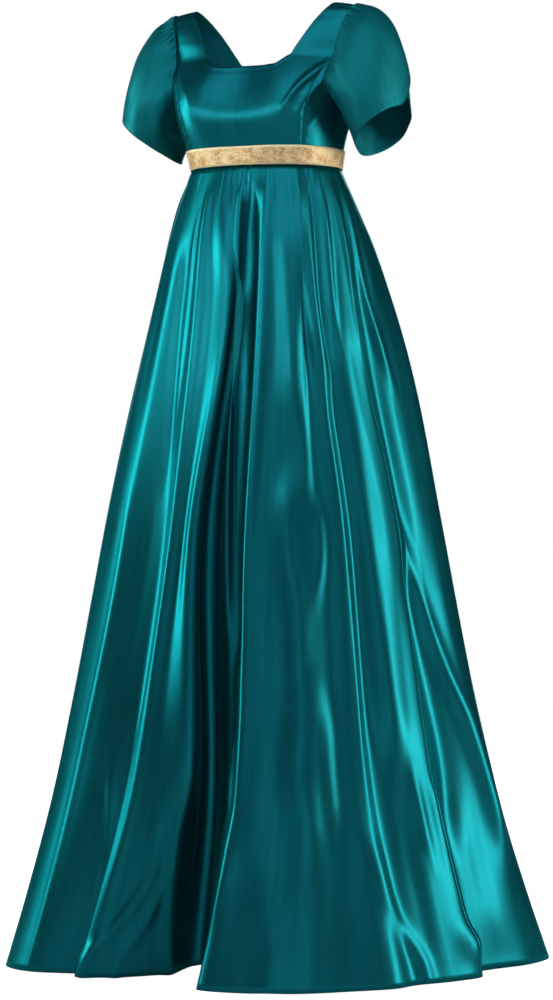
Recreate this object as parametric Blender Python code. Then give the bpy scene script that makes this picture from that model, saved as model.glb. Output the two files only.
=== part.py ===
"""Regency gown: satin bodice, petal puff sleeves, ribbon and gathered skirt.

Metres, +Z up, front faces -Y, the wearer's left is +X.  The origin is the
middle of the line between the two shoulder seams.  Every piece is a closed
cloth wall; seams are 0.3 mm gaps.
"""
import bpy
import math
import numpy as np

for old in list(bpy.data.objects):
    bpy.data.objects.remove(old)

CLOTH = 0.0015          # satin wall
RIBBON = 0.0012         # ribbon wall
SEAM = 0.0003           # gap left where two pieces are sewn
UNDERBUST = -0.251      # height of the seam under the bust
RIBBON_WIDE = 0.0275
HEM = -1.464
TEAL = (0.004, 0.110, 0.135, 1.0), 0.38, 0.25     # colour, roughness, metallic
GOLD = (0.665, 0.460, 0.215, 1.0), 0.50, 0.45

# ------------------------------------------------------------------ helpers


def smooth(knots, values, at):
    """Cubic curve through values (one row per knot), read at `at`."""
    x = np.asarray(knots, float)
    v = np.asarray(values, float)
    step = np.diff(x)
    slope = (np.diff(v, axis=0).T / step).T
    grade = np.empty_like(v)
    grade[0], grade[-1] = slope[0], slope[-1]
    w = step[1:] / (step[1:] + step[:-1])
    grade[1:-1] = ((slope[:-1].T * w) + (slope[1:].T * (1 - w))).T
    k = int(np.clip(np.searchsorted(x, at) - 1, 0, len(x) - 2))
    h = step[k]
    t = (at - x[k]) / h
    return ((2 * t**3 - 3 * t**2 + 1) * v[k] + (t**3 - 2 * t**2 + t) * h * grade[k]
            + (3 * t**2 - 2 * t**3) * v[k + 1] + (t**3 - t**2) * h * grade[k + 1])


def cloth(name, look):
    """The piece's own material: a Principled BSDF."""
    mat = bpy.data.materials.new(name)
    mat.use_nodes = True
    bsdf = mat.node_tree.nodes["Principled BSDF"]
    for socket, value in zip(("Base Color", "Roughness", "Metallic"), look):
        bsdf.inputs[socket].default_value = value
    return mat


def shell(name, grid, wall, cells=None, closed=False, normals=None):
    """A wall of cloth from a grid of points (row, column, xyz).

    `normals` keeps two pieces' walls parallel where they meet at a seam."""
    grid = np.asarray(grid, float)
    rows, cols = grid.shape[:2]
    quads = []
    for r in range(rows - 1):
        for c in range(cols if closed else cols - 1):
            if cells is None or cells(r, c):
                d = (c + 1) % cols
                quads.append((r * cols + c, r * cols + d, (r + 1) * cols + d, (r + 1) * cols + c))
    pts = grid.reshape(-1, 3)
    used = sorted({i for q in quads for i in q})
    index = {old: new for new, old in enumerate(used)}
    quads = [tuple(index[i] for i in q) for q in quads]
    pts = pts[used]
    normal = np.zeros_like(pts)
    for a, b, c, d in quads:
        n = np.cross(pts[c] - pts[a], pts[d] - pts[b])
        for i in (a, b, c, d):
            normal[i] += n / (np.linalg.norm(n) + 1e-12)
    if normals is not None:
        normal = np.asarray(normals, float).reshape(-1, 3)[used]
    normal /= np.linalg.norm(normal, axis=1)[:, None] + 1e-12
    n = len(pts)
    verts = np.vstack([pts + normal * wall / 2, pts - normal * wall / 2])
    faces = []
    edges = {}
    for a, b, c, d in quads:
        # the shorter diagonal keeps a twisted quad from folding over
        if np.linalg.norm(pts[a] - pts[c]) <= np.linalg.norm(pts[b] - pts[d]):
            tris = ((a, b, c), (a, c, d))
        else:
            tris = ((a, b, d), (b, c, d))
        for t in tris:
            faces.append(t)
            faces.append(tuple(i + n for i in reversed(t)))
        for e in ((a, b), (b, c), (c, d), (d, a)):
            edges[e] = True
    for a, b in edges:
        if (b, a) not in edges:
            faces.append((b, a, a + n))
            faces.append((b, a + n, b + n))
    mesh = bpy.data.meshes.new(name)
    mesh.from_pydata([tuple(v) for v in verts], [], faces)
    mesh.update()
    mesh.shade_smooth()
    mesh.materials.append(cloth(name, GOLD if name == "ribbon" else TEAL))
    obj = bpy.data.objects.new(name, mesh)
    bpy.context.scene.collection.objects.link(obj)
    return obj


def mirrored(grid):
    """The same cloth on the wearer's other side (columns turned round)."""
    g = np.asarray(grid, float)[:, ::-1].copy()
    g[..., 0] *= -1
    return g


def flipped(normals):
    n = np.asarray(normals, float)[:, ::-1].copy()
    n[..., 0] *= -1
    return n


def facing(grid):
    """Unit normals of a grid of points, from its own differences."""
    n = np.cross(np.gradient(grid, axis=1), np.gradient(grid, axis=0))
    return n / (np.linalg.norm(n, axis=2)[..., None] + 1e-12)


def trim(curve, toward, by=SEAM / 2):
    """Move a panel's edge column towards its neighbour by half a seam."""
    step = toward - curve
    return curve + step / np.linalg.norm(step, axis=-1)[..., None] * by


# ------------------------------------------------------------- the body form
# Horizontal sections of the bodice, one row per height (m).  Each station has
# its distance to the side (x) and forward (f) or back (b).  Stations: the
# centre front, halfway, the neck line (neck corner, then the inner edge of
# the strap), the princess line (over the bust to the armhole, then the outer
# edge of the strap), the front of the side, the side seam.
FORM = [
    # height  cf_f  half_x half_f  neck_x neck_f  prin_x prin_f  fside_x fside_f side_x side_f
    (-0.2510, 0.095, 0.034, 0.091, 0.060, 0.082, 0.086, 0.067, 0.107, 0.040, 0.117, 0.000),
    (-0.2150, 0.099, 0.036, 0.100, 0.064, 0.096, 0.094, 0.080, 0.114, 0.046, 0.121, 0.000),
    (-0.1900, 0.102, 0.038, 0.108, 0.069, 0.111, 0.099, 0.097, 0.122, 0.052, 0.128, 0.000),
    (-0.1600, 0.102, 0.040, 0.109, 0.073, 0.116, 0.104, 0.105, 0.130, 0.056, 0.138, 0.000),
    (-0.1250, 0.091, 0.040, 0.097, 0.074, 0.103, 0.114, 0.084, 0.131, 0.054, 0.140, 0.000),
    (-0.0900, 0.072, 0.038, 0.074, 0.069, 0.072, 0.129, 0.048, 0.133, 0.044, 0.142, 0.000),
    (-0.0550, 0.052, 0.040, 0.052, 0.084, 0.053, 0.135, 0.037, 0.139, 0.034, 0.145, 0.000),
    (-0.0250, 0.038, 0.045, 0.037, 0.100, 0.034, 0.142, 0.027, 0.144, 0.025, 0.148, 0.000),
    (-0.0080, 0.024, 0.050, 0.022, 0.112, 0.020, 0.147, 0.017, 0.148, 0.015, 0.150, 0.000),
    (-0.0020, 0.013, 0.054, 0.011, 0.116, 0.010, 0.149, 0.009, 0.150, 0.008, 0.151, 0.000),
    (0.0000, 0.003, 0.055, 0.002, 0.117, 0.000, 0.149, 0.000, 0.150, 0.000, 0.151, 0.000),
]
BACK = [
    # height  cb_b  half_x half_b  neck_x neck_b  blade_x blade_b bside_x bside_b
    (-0.2510, 0.095, 0.034, 0.091, 0.060, 0.082, 0.086, 0.067, 0.107, 0.040),
    (-0.2150, 0.095, 0.035, 0.093, 0.062, 0.085, 0.091, 0.070, 0.112, 0.042),
    (-0.1900, 0.096, 0.036, 0.094, 0.065, 0.087, 0.095, 0.073, 0.119, 0.044),
    (-0.1600, 0.097, 0.037, 0.095, 0.068, 0.088, 0.101, 0.073, 0.129, 0.045),
    (-0.1250, 0.097, 0.038, 0.095, 0.070, 0.087, 0.112, 0.066, 0.132, 0.045),
    (-0.0900, 0.093, 0.038, 0.091, 0.072, 0.082, 0.128, 0.048, 0.134, 0.041),
    (-0.0550, 0.083, 0.040, 0.080, 0.086, 0.061, 0.136, 0.036, 0.139, 0.033),
    (-0.0250, 0.055, 0.045, 0.050, 0.101, 0.038, 0.142, 0.027, 0.144, 0.025),
    (-0.0080, 0.030, 0.050, 0.026, 0.112, 0.021, 0.147, 0.017, 0.148, 0.015),
    (-0.0020, 0.015, 0.054, 0.013, 0.116, 0.010, 0.149, 0.009, 0.150, 0.008),
    (0.0000, 0.003, 0.055, 0.002, 0.117, 0.000, 0.149, 0.000, 0.150, 0.000),
]


def section(z, back=False):
    """Stations 0 (centre) to 5 (side seam) of the form at height z."""
    if back:
        r = smooth([q[0] for q in BACK], [q[1:] for q in BACK], z)
        side = smooth([q[0] for q in FORM], [q[10] for q in FORM], z)
        y = np.array([r[0], r[2], r[4], r[6], r[8], 0.0])
    else:
        r = smooth([q[0] for q in FORM], [q[1:] for q in FORM], z)
        side = r[9]
        y = -np.array([r[0], r[2], r[4], r[6], r[8], 0.0])
    x = np.array([0.0, r[1], r[3], r[5], r[7], side])
    return np.stack([x, y], 1)


def body(u, z, back=False):
    """A point of the bodice's middle surface; u = 0 centre, 5 side seam."""
    s = section(z, back)
    far = section(z, not back)
    # carry the curve on past the centre and the side so it stays round there
    ring = np.vstack([[-s[1, 0], s[1, 1]], s, far[4]])
    x, y = smooth(range(-1, 7), ring, u)
    # the shoulder falls towards the arm, from the neck line (2) outwards
    fall = 0.0066 * min(max(u - 2, 0), 1) * max(1 + z / 0.060, 0)**2
    return np.array([x, y, z - fall])


def body_facing(u, z, back=False):
    along = body(u + 0.04, z, back) - body(u - 0.04, z, back)
    up = body(u, min(z + 0.002, 0.0), back) - body(u, max(z - 0.002, -0.251), back)
    n = np.cross(along, up) * (-1 if back else 1)
    return n / np.linalg.norm(n)


NECK_FRONT = [(0.0, -0.1000), (1.0, -0.0995), (1.6, -0.0955), (2.0, -0.0840)]
NECK_BACK = [(0.0, -0.0920), (1.0, -0.0910), (1.6, -0.0870), (2.0, -0.0760)]
ARMHOLE = [(3.0, -0.0900), (3.5, -0.1220), (4.0, -0.1500), (4.5, -0.1690), (5.0, -0.1760)]


def height_of(line, u):
    return float(smooth([p[0] for p in line], [p[1] for p in line], u))


SHOULDER = -0.0002
LOW = UNDERBUST + CLOTH / 2 + 0.0002


def rise(u, top, steps):
    """A column of the bodice from the under-bust seam to `top`."""
    return [LOW + (top - LOW) * k / steps for k in range(steps + 1)]


def panel(us, neck, steps, strap_steps, back):
    """Rows of points: up to the neck or armhole line, then up the strap."""
    columns, normals = [], []
    for u in us:
        if u <= 2.0:
            top = height_of(neck, u)
        elif u <= 3.0:
            top = height_of(neck, 2.0) + (ARMHOLE[0][1] - height_of(neck, 2.0)) * (u - 2.0)
        else:
            top = height_of(ARMHOLE, u)
        levels = rise(u, top, steps)
        end = SHOULDER if 2.0 <= u <= 3.0 else top
        # finer where the strap turns over the shoulder
        levels += [top + (end - top) * (1 - (1 - k / strap_steps) ** 1.7) for k in range(1, strap_steps + 1)]
        columns.append([body(u, z, back) for z in levels])
        normals.append([body_facing(u, z, back) for z in levels])
        if strap_steps and end == SHOULDER:
            normals[-1][-1] = np.array([0.0, 0.0, 1.0])
    return np.array(columns).transpose(1, 0, 2), np.array(normals).transpose(1, 0, 2)


def spread(a, b, n):
    return [a + (b - a) * k / n for k in range(n + 1)]


STEPS, STRAP = 9, 5


def strap_cells(us):
    return lambda r, c: r < STEPS or (us[c] >= 2.0 - 1e-9 and us[c + 1] <= 3.0 + 1e-9)


# centre front, both halves in one piece
half = spread(0, 2, 6) + spread(2, 3, 3)[1:]
right, out = panel(half, NECK_FRONT, STEPS, STRAP, False)
right[:, -1] = trim(right[:, -1], right[:, -2])
right[-1, 6:, 1] -= SEAM / 2
us_front = [-u for u in half[:0:-1]] + half
shell("bodice_front", np.concatenate([mirrored(right)[:, :-1], right], 1), CLOTH,
      lambda r, c: r < STEPS or min(abs(us_front[c]), abs(us_front[c + 1])) >= 2.0 - 1e-9,
      normals=np.concatenate([flipped(out)[:, :-1], out], 1))

# side fronts
side, out = panel(spread(3, 5, 5), NECK_FRONT, STEPS, 0, False)
side[:, 0] = trim(side[:, 0], side[:, 1])
side[:, -1] = trim(side[:, -1], side[:, -2])
shell("bodice_side_left", side, CLOTH, normals=out)
shell("bodice_side_right", mirrored(side), CLOTH, normals=flipped(out))

# half backs, from the side seam round to the centre back
us = (spread(0, 2, 5) + spread(2, 3, 3)[1:] + spread(3, 5, 5)[1:])[::-1]
back, out = panel(us, NECK_BACK, STEPS, STRAP, True)
back[:, 0] = trim(back[:, 0], back[:, 1])
back[:, -1] = trim(back[:, -1], back[:, -2])
back[-1, 5:9, 1] += SEAM / 2
shell("bodice_back_left", back, CLOTH,
      lambda r, c: r < STEPS or (us[c] <= 3.0 + 1e-9 and us[c + 1] >= 2.0 - 1e-9), normals=out)
shell("bodice_back_right", mirrored(back), CLOTH,
      lambda r, c: r < STEPS or (us[-2 - c] <= 3.0 + 1e-9 and us[-1 - c] >= 2.0 - 1e-9),
      normals=flipped(out))

# ------------------------------------------------------------------ ribbon
# Made from the bodice's own points, moved out by a wall and a seam.
ring = []
for k in range(60):
    u = k * 20 / 60
    quarter, v = int(u // 5), u % 5
    flip = quarter in (1, 3)
    w = 5 - v if flip else v
    ring.append((w, quarter in (1, 2), 1 if quarter < 2 else -1))
rows = []
for z in (UNDERBUST, UNDERBUST + RIBBON_WIDE):
    loop = []
    for w, is_back, sign in ring:
        p = body(w, z, is_back)
        p[0] *= sign
        loop.append(p)
    loop = np.array(loop)
    along = np.roll(loop, -1, 0) - np.roll(loop, 1, 0)
    out = np.stack([along[:, 1], -along[:, 0], np.zeros(len(loop))], 1)
    out /= np.linalg.norm(out, axis=1)[:, None]
    rows.append(loop + out * (CLOTH / 2 + RIBBON / 2 + 0.0011))
shell("ribbon", rows, RIBBON, closed=True)

# ------------------------------------------------------------------ sleeves
# The wearer's left sleeve, one row per turn round the arm, from the top of
# the shoulder (0) to the front (90), under the arm (180) and the back (270).
# Its fullest part and its edge as x, y, z; its head follows the armhole.
SLEEVE = [
    # turn  puff_x  puff_y  puff_z   edge_x  edge_y  edge_z
    (0,   0.2060,  0.000, -0.0600, 0.2320,  0.000, -0.1640),
    (45,  0.1890, -0.054, -0.0850, 0.2160, -0.050, -0.1730),
    (90,  0.1640, -0.076, -0.1280, 0.1910, -0.066, -0.1950),
    (135, 0.1520, -0.062, -0.1780, 0.1650, -0.042, -0.2190),
    (180, 0.1530,  0.010, -0.2040, 0.1540,  0.013, -0.2330),
    (225, 0.1530,  0.064, -0.1780, 0.1690,  0.050, -0.2250),
    (270, 0.1660,  0.081, -0.1280, 0.1940,  0.070, -0.2040),
    (315, 0.1890,  0.056, -0.0850, 0.2170,  0.052, -0.1780),
]
BEGIN = 62          # a petal starts this far past the top of the arm (degrees)
FULL = 25           # and has its full length from here on
CAP_LEFT = (0.001, 0.000, 0.012)    # the left sleeve's head stands up a little more
CAP_RIGHT = (-0.003, 0.000, 0.000)


def armhole(turn):
    """The bodice's edge round the arm, a little further out to the side."""
    turn = (turn + 180) % 360 - 180
    part = abs(turn) / 90
    if part <= 1:
        u, z = 3.0, SHOULDER + (ARMHOLE[0][1] - SHOULDER) * part ** 1.9
    else:
        u = 3.0 + 2.0 * (part - 1)
        z = height_of(ARMHOLE, u)
    return body(u, z, turn < 0) + np.array([0.0015, 0.0, 0.0]) + body_facing(u, z, turn < 0) * 0.0013


def puff(turn, along, cap):
    """The puff's surface; along = 0 at the armhole seam, 1 at the edge."""
    rows = [(q[0] + w, *q[1:]) for w in (-360, 0, 360) for q in SLEEVE]
    r = smooth([q[0] for q in rows], [q[1:] for q in rows], turn)
    head, full, edge = armhole(turn), r[0:3], r[3:6]
    full = full + np.array(cap) * max(math.cos(math.radians(turn)), 0)**2
    pull = 2 * full - (head + edge) / 2
    return head * (1 - along)**2 + pull * 2 * along * (1 - along) + edge * along**2


def puff_facing(turn, along, cap):
    a, b = max(along - 0.02, 0.001), min(along + 0.02, 0.999)
    n = np.cross(puff(turn + 2, along, cap) - puff(turn - 2, along, cap),
                 puff(turn, b, cap) - puff(turn, a, cap))
    return n / np.linalg.norm(n)


def petal(sign, lift, cap):
    """sign +1: the front petal; it runs past the top of the arm by BEGIN."""
    cols, normals = [], []
    for t in spread(-BEGIN, 180, 17):
        reach = 1.0
        if t < FULL:
            reach = 0.13 + 0.87 * (1 - ((FULL - t) / (FULL + BEGIN)) ** 1.9)
        raised = lift * min(max((150 - t) / 60, 0), 1)
        out = [puff_facing(sign * t, reach * j / 7, cap) for j in range(8)]
        cols.append([puff(sign * t, reach * j / 7, cap) + out[j] * raised for j in range(8)])
        normals.append(out)
    grid = np.array(cols).transpose(1, 0, 2)
    out = np.array(normals).transpose(1, 0, 2)
    grid[:, -1] = trim(grid[:, -1], grid[:, -2])
    return (grid, out) if sign > 0 else (grid[:, ::-1], out[:, ::-1])


for side_name, cap in (("left", CAP_LEFT), ("right", CAP_RIGHT)):
    for piece, sign, lift in (("sleeve_front_", 1, 3.1 * CLOTH), ("sleeve_back_", -1, 0.0)):
        grid, out = petal(sign, lift, cap)
        if side_name == "right":
            grid, out = mirrored(grid), flipped(out)
        shell(piece + side_name, grid, CLOTH, normals=out)

# ------------------------------------------------------------------- skirt
# Half the skirt's width at each height (m).
WIDTH = [(-0.2513, 0.1170), (-0.2960, 0.1355), (-0.3500, 0.1540), (-0.4490, 0.1800),
         (-0.6030, 0.2170), (-0.7560, 0.2490), (-0.9090, 0.2780), (-1.0630, 0.3090),
         (-1.2160, 0.3430), (-1.3700, 0.3860), (-1.4640, 0.4150)]
LEVELS = (-0.2513, -0.4490, -0.8000, -1.2000, -1.4640)
# One row per ridge or trough, going round from the wearer's right side seam.
# The direction it faces (degrees, 0 = front, 90 = wearer's left) at the top,
# hip, knee, shin and hem, and how far out it stands at the last four as a
# percentage of WIDTH; at the top all lie on the bodice's ellipse.
SKIRT = [
    # top  hip  knee shin  hem | hip   knee  shin  hem
    (-90, -92, -93, -92, -93, 92.0, 94.0, 95.0, 93.0),     # right side seam
    (-81, -82, -82, -82, -84, 95.0, 97.5, 96.5, 96.5),
    (-73, -74, -73, -74, -75, 92.5, 93.0, 92.0, 92.5),
    (-65, -66, -60, -64, -66, 94.5, 96.5, 95.5, 95.5),
    (-58, -58, -50, -56, -57, 93.0, 95.0, 95.5, 95.5),
    (-50, -48, -39, -46, -49, 89.0, 92.0, 91.0, 89.0),
    (-42, -38, -29, -36, -42, 86.5, 83.0, 81.0, 76.0),     # dark side of the fold
    (-34, -27, -22, -30, -38, 84.5, 81.0, 76.0, 71.0),
    (-27, -18, -16, -26, -36, 86.5, 86.0, 81.0, 78.0),     # its edge
    (-21, -11, -12, -16, -28, 85.0, 84.5, 78.0, 67.0),
    (-15, -4, -8.5, -7, -21, 86.5, 84.5, 74.0, 51.0),      # bright edge of the deep trough
    (-8, 1, -6, -4, -16, 84.0, 74.0, 60.0, 45.0),
    (-2, 3.5, -1, -2, -10, 83.0, 72.0, 55.0, 44.5),
    (4, 6.5, 6, 3, -3, 85.0, 78.0, 60.0, 47.0),
    (9, 10, 10, 8, 2, 82.0, 78.0, 67.0, 57.0),
    (14, 15, 13, 12, 4, 80.0, 78.5, 74.0, 68.0),
    (22, 21, 17, 15, 5.5, 84.5, 83.0, 80.5, 75.0),         # front panel's edge
    (29, 28, 24, 22, 14, 84.0, 82.5, 81.0, 78.0),
    (36, 35, 32, 30, 24, 84.5, 82.0, 80.5, 79.5),
    (43, 41, 40, 38, 33, 86.0, 83.5, 82.0, 80.5),
    (49, 45, 47, 46, 45, 85.5, 83.0, 80.5, 80.0),
    (55, 50, 55, 55, 57, 89.0, 86.5, 83.5, 81.5),          # long bright ridge
    (62, 55, 60, 60, 65, 86.0, 82.5, 80.5, 79.5),
    (70, 62, 66, 66, 71, 88.0, 85.0, 83.0, 81.0),
    (77, 68, 74, 73, 77, 91.0, 89.5, 86.5, 83.5),          # broad bright ridge
    (84, 75, 82, 80, 86, 92.5, 90.5, 88.5, 86.5),          # left side seam
    (91, 83, 87, 87, 92, 91.0, 88.0, 85.0, 80.0),
    (98, 92, 93, 96, 100, 96.5, 94.0, 90.0, 84.5),
    (106, 101, 101, 105, 110, 100.5, 100.0, 100.0, 97.5),
    (114, 112, 111, 114, 119, 106.5, 104.5, 104.0, 105.5),
    (122, 122, 120, 123, 127, 103.0, 101.5, 100.5, 104.5),
    (131, 132, 131, 132, 135, 97.0, 95.0, 93.0, 93.0),
    (140, 141, 141, 142, 143, 101.0, 102.0, 102.5, 104.0),
    (149, 150, 151, 151, 152, 97.0, 95.0, 92.5, 91.0),
    (158, 160, 161, 161, 161, 101.5, 103.0, 103.5, 105.0),
    (168, 170, 171, 171, 171, 98.0, 97.0, 96.0, 97.0),
    (180, 180, 180, 180, 180, 100.0, 100.5, 100.5, 101.0),  # centre back seam
    (191, 190, 190, 189, 189, 97.0, 95.5, 94.0, 93.0),
    (201, 201, 200, 199, 200, 101.0, 102.5, 103.5, 104.0),
    (210, 211, 210, 209, 210, 97.0, 95.0, 92.0, 91.0),
    (220, 220, 220, 219, 220, 99.5, 101.0, 102.0, 103.0),
    (229, 229, 229, 229, 229, 95.5, 94.0, 92.0, 91.0),
    (239, 239, 239, 239, 239, 98.0, 99.5, 100.5, 101.0),
    (249, 248, 248, 248, 248, 94.0, 93.0, 92.5, 90.0),
    (260, 259, 258, 258, 258, 95.5, 98.0, 99.0, 99.0),
]
SIDE_LEFT, CENTRE_BACK = 25, 36
AROUND = len(SKIRT)


def skirt_ring(z):
    """The skirt's rows at height z as x, y pairs."""
    wide = float(smooth([w[0] for w in WIDTH][::-1], [w[1] for w in WIDTH][::-1], z))
    up = [-v for v in LEVELS]
    pts = []
    for row in SKIRT:
        a = math.radians(row[0])
        p = body_ring(row[0])
        top = 100 * math.hypot(p[0], p[1]) / WIDTH[0][1]
        values = np.array([(row[0], top), (row[1], row[5]), (row[2], row[6]), (row[3], row[7]), (row[4], row[8])])
        turn, out = smooth(up, values, -z)
        r = wide * out / 100
        pts.append((r * math.sin(math.radians(turn)), -r * math.cos(math.radians(turn))))
    return np.array(pts)


def body_ring(turn):
    """The foot of the bodice in a direction, as an ellipse."""
    a, b = 0.117, 0.095
    t = math.radians(turn)
    r = a * b / math.hypot(b * math.sin(t), a * math.cos(t))
    return (r * math.sin(t), -r * math.cos(t))


def skirt_point(ring, u):
    n = len(ring)
    k = int(math.floor(u))
    around = [ring[(k + j) % n] for j in range(-2, 4)]
    return smooth(range(k - 2, k + 4), around, u)


def hem_lift(u):
    """The hem rides up where the cloth is drawn back into the deep trough."""
    return 0.016 * math.exp(-((u - 12.3) / 1.7) ** 2)


heights = [-0.2513, -0.266, -0.295, -0.350, -0.440, -0.560, -0.700, -0.860, -1.030,
           -1.200, -1.340, -1.464]


def skirt_panel(start, end, per_row):
    us = spread(start, end, int(round((end - start) * per_row)))
    us = [start - 1 / per_row] + us + [end + 1 / per_row]
    rings = {}
    cols = []
    for u in us:
        foot = HEM + hem_lift(u)
        col = []
        for z in heights:
            z = UNDERBUST - SEAM + (z - heights[0]) * (foot - UNDERBUST + SEAM) / (HEM - heights[0])
            key = round(z, 5)
            if key not in rings:
                rings[key] = skirt_ring(max(z, HEM))
            x, y = skirt_point(rings[key], u)
            col.append((x, y, z))
        cols.append(col)
    g = np.array(cols).transpose(1, 0, 2)[::-1]
    out = facing(g)[:, 1:-1]
    g = g[:, 1:-1]
    g[:, 0] = trim(g[:, 0], g[:, 1])
    g[:, -1] = trim(g[:, -1], g[:, -2])
    return g, out


for name, start, end in (("skirt_front", 0, SIDE_LEFT), ("skirt_back_left", SIDE_LEFT, CENTRE_BACK),
                         ("skirt_back_right", CENTRE_BACK, AROUND)):
    grid, out = skirt_panel(start, end, 2)
    shell(name, grid, CLOTH, normals=out)
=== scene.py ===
# %% [markdown]
# # A regency gown in teal satin
#
# The gown is worn, with nobody in it: a close bodice, short petal sleeves, a
# gold ribbon under the bust and a long gathered skirt.  Satin is almost
# nothing but light and dark, so most of this lesson is about the shape of
# its folds.  Every piece that a maker cuts is one thin sheet here.  The
# solid model already holds them all as plain walls; each sheet follows its
# wall, and adds the creases, gathers and seams.

# %% Start from the solid model
import math

import bpy
import numpy as np
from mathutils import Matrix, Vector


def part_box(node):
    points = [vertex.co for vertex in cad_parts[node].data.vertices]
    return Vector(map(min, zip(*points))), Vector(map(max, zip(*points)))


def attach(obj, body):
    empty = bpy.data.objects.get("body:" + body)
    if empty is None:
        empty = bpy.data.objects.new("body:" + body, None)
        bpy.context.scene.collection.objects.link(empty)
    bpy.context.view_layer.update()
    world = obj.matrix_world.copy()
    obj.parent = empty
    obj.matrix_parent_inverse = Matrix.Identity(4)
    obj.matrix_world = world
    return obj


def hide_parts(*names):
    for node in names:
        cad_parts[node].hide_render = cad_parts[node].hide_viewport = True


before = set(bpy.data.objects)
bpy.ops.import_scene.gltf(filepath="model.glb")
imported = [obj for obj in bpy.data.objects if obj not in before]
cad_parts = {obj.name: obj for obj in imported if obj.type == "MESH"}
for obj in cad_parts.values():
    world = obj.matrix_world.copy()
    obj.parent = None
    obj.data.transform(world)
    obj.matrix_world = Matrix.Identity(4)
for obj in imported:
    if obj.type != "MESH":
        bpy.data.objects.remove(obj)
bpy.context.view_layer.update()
belt_low, belt_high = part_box("ribbon")
UNDERBUST = belt_low[2]             # the seam under the bust
RIBBON_WIDE = belt_high[2] - belt_low[2]
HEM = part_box("skirt_front")[0][2]   # the bottom of the skirt
print(f"skirt {UNDERBUST - HEM:.3f} m long, ribbon {RIBBON_WIDE * 1000:.1f} mm wide")

# %% [markdown]
# ## The camera, the light and the floor
#
# The view is level with the middle of the gown and turned a little to the
# wearer's left.  A long lens from far away keeps the hem from looking bigger
# than the shoulders.  Satin mirrors the room softly, so the room is part of
# the material: tall soft lamps at the two sides draw long bright lines down
# the folds, and everything between them stays dim.

# %% Camera
TURN = math.radians(24)             # how far round the view is
AWAY = 5.0                          # metres from the gown
SENSOR = 36                         # millimetres, Blender's own
VIEW_TALL = 1.534                   # metres seen from top to bottom
VIEW_LOWER = 0.024                  # metres below the gown's middle
camera_data = bpy.data.cameras.new("view")
camera = bpy.data.objects.new("view", camera_data)
bpy.context.scene.collection.objects.link(camera)
camera.location = (AWAY * math.sin(TURN), -AWAY * math.cos(TURN), 0.5 * HEM - VIEW_LOWER)
camera.rotation_euler = (math.radians(90), 0, TURN)
camera_data.lens = SENSOR * AWAY / VIEW_TALL
camera_data.shift_x = 0.010
camera_data.clip_end = 400
bpy.context.scene.camera = camera
print(f"camera {AWAY} m away, turned {math.degrees(TURN):.0f} degrees, lens {camera_data.lens:.0f} mm")

# %% [markdown]
# A soft box could be any shape.  A tall narrow one is used at each side,
# because a fold mirrors its lamp: a narrow lamp gives a narrow line.  The
# lamps above and in front are wide and weak and only keep the flat cloth
# from going black.

# %% Lamps
SKY, PALE = (0.84, 0.94, 1.0), (0.95, 1.0, 0.97)
LAMPS = [
    # name, degrees from the camera, metres away and up, wide, tall, watts, tint, tilt
    ("right_softbox", 80, 2.6, -0.45, 0.50, 2.6, 54, (1.0, 1.0, 0.92), 0),
    ("left_softbox", -97, 2.8, 0.05, 0.52, 2.1, 58, (1.0, 1.0, 0.93), 0),
    ("front_fill", 12, 5.4, 0.30, 3.2, 3.4, 19, (0.78, 0.92, 1.0), 0),
    ("overhead", 2, 1.7, 1.85, 4.6, 2.4, 62, SKY, -48),
    ("low_front", 0, 3.0, -0.95, 4.2, 0.7, 5, SKY, 0),
    ("low_bounce", 0, 1.9, -1.40, 4.4, 0.34, 4, PALE, 34),
    # a small strip level with the bust draws the one bright line across the bodice
    ("bust_strip", -40, 1.2, -0.04, 1.45, 0.10, 6, PALE, 0),
    # the hidden side has its own two lamps, too far round to reach the front
    ("back_left", 168, 3.6, -0.2, 0.7, 2.2, 18, PALE, 0),
    ("back_right", -168, 4.8, 0.2, 2.2, 2.6, 18, (0.82, 0.94, 1.0), 0),
]
for name, turn, away, height, wide, tall, watts, tint, tilt in LAMPS:
    data = bpy.data.lights.new(name, "AREA")
    data.shape = "RECTANGLE"
    data.size, data.size_y = wide, tall
    data.energy, data.color = watts, tint
    lamp = bpy.data.objects.new(name, data)
    angle = TURN + math.radians(turn)
    lamp.location = (away * math.sin(angle), -away * math.cos(angle), height)
    lamp.rotation_euler = (math.radians(90 + tilt), 0, angle)
    lamp.visible_camera = False
    bpy.context.scene.collection.objects.link(lamp)
print(f"{len(LAMPS)} lamps, {sum(row[6] for row in LAMPS)} W in all")

# %% [markdown]
# Every finish and the room are made of nodes.  One helper makes a node, sets
# its values and wires its inputs, so that a tree reads from top to bottom.

# %% A helper for nodes
MIX_BY, MIX_FROM, MIX_TO, MIXED = 0, 6, 7, 2    # the colour sockets of a Mix node


def node(tree, kind, wires=None, **settings):
    """A new node: settings are inputs or properties, wires join its inputs."""
    n = tree.nodes.new(kind)
    for key, value in settings.items():
        if key in n.inputs.keys():
            n.inputs[key].default_value = value
        else:
            setattr(n, key, value)
    for key, source in (wires or {}).items():
        tree.links.new(source, n.inputs[key])
    return n


def set_all(n, values):
    for socket, value in values.items():
        n.inputs[socket].default_value = value


def sockets(tree, way, rows):
    """Named inputs or outputs for a group: label, kind, and a value if any."""
    for label, kind, *value in rows:
        made = tree.interface.new_socket(label, in_out=way, socket_type="NodeSocket" + kind)
        if value:
            made.default_value = value[0]


# %% [markdown]
# The walls and the floor look white, but a white room would fill every fold
# with light.  So the room is white only to the eye, and nearly black to the
# cloth.  The floor is made the same way, and doesn't light the hem from below.

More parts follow.
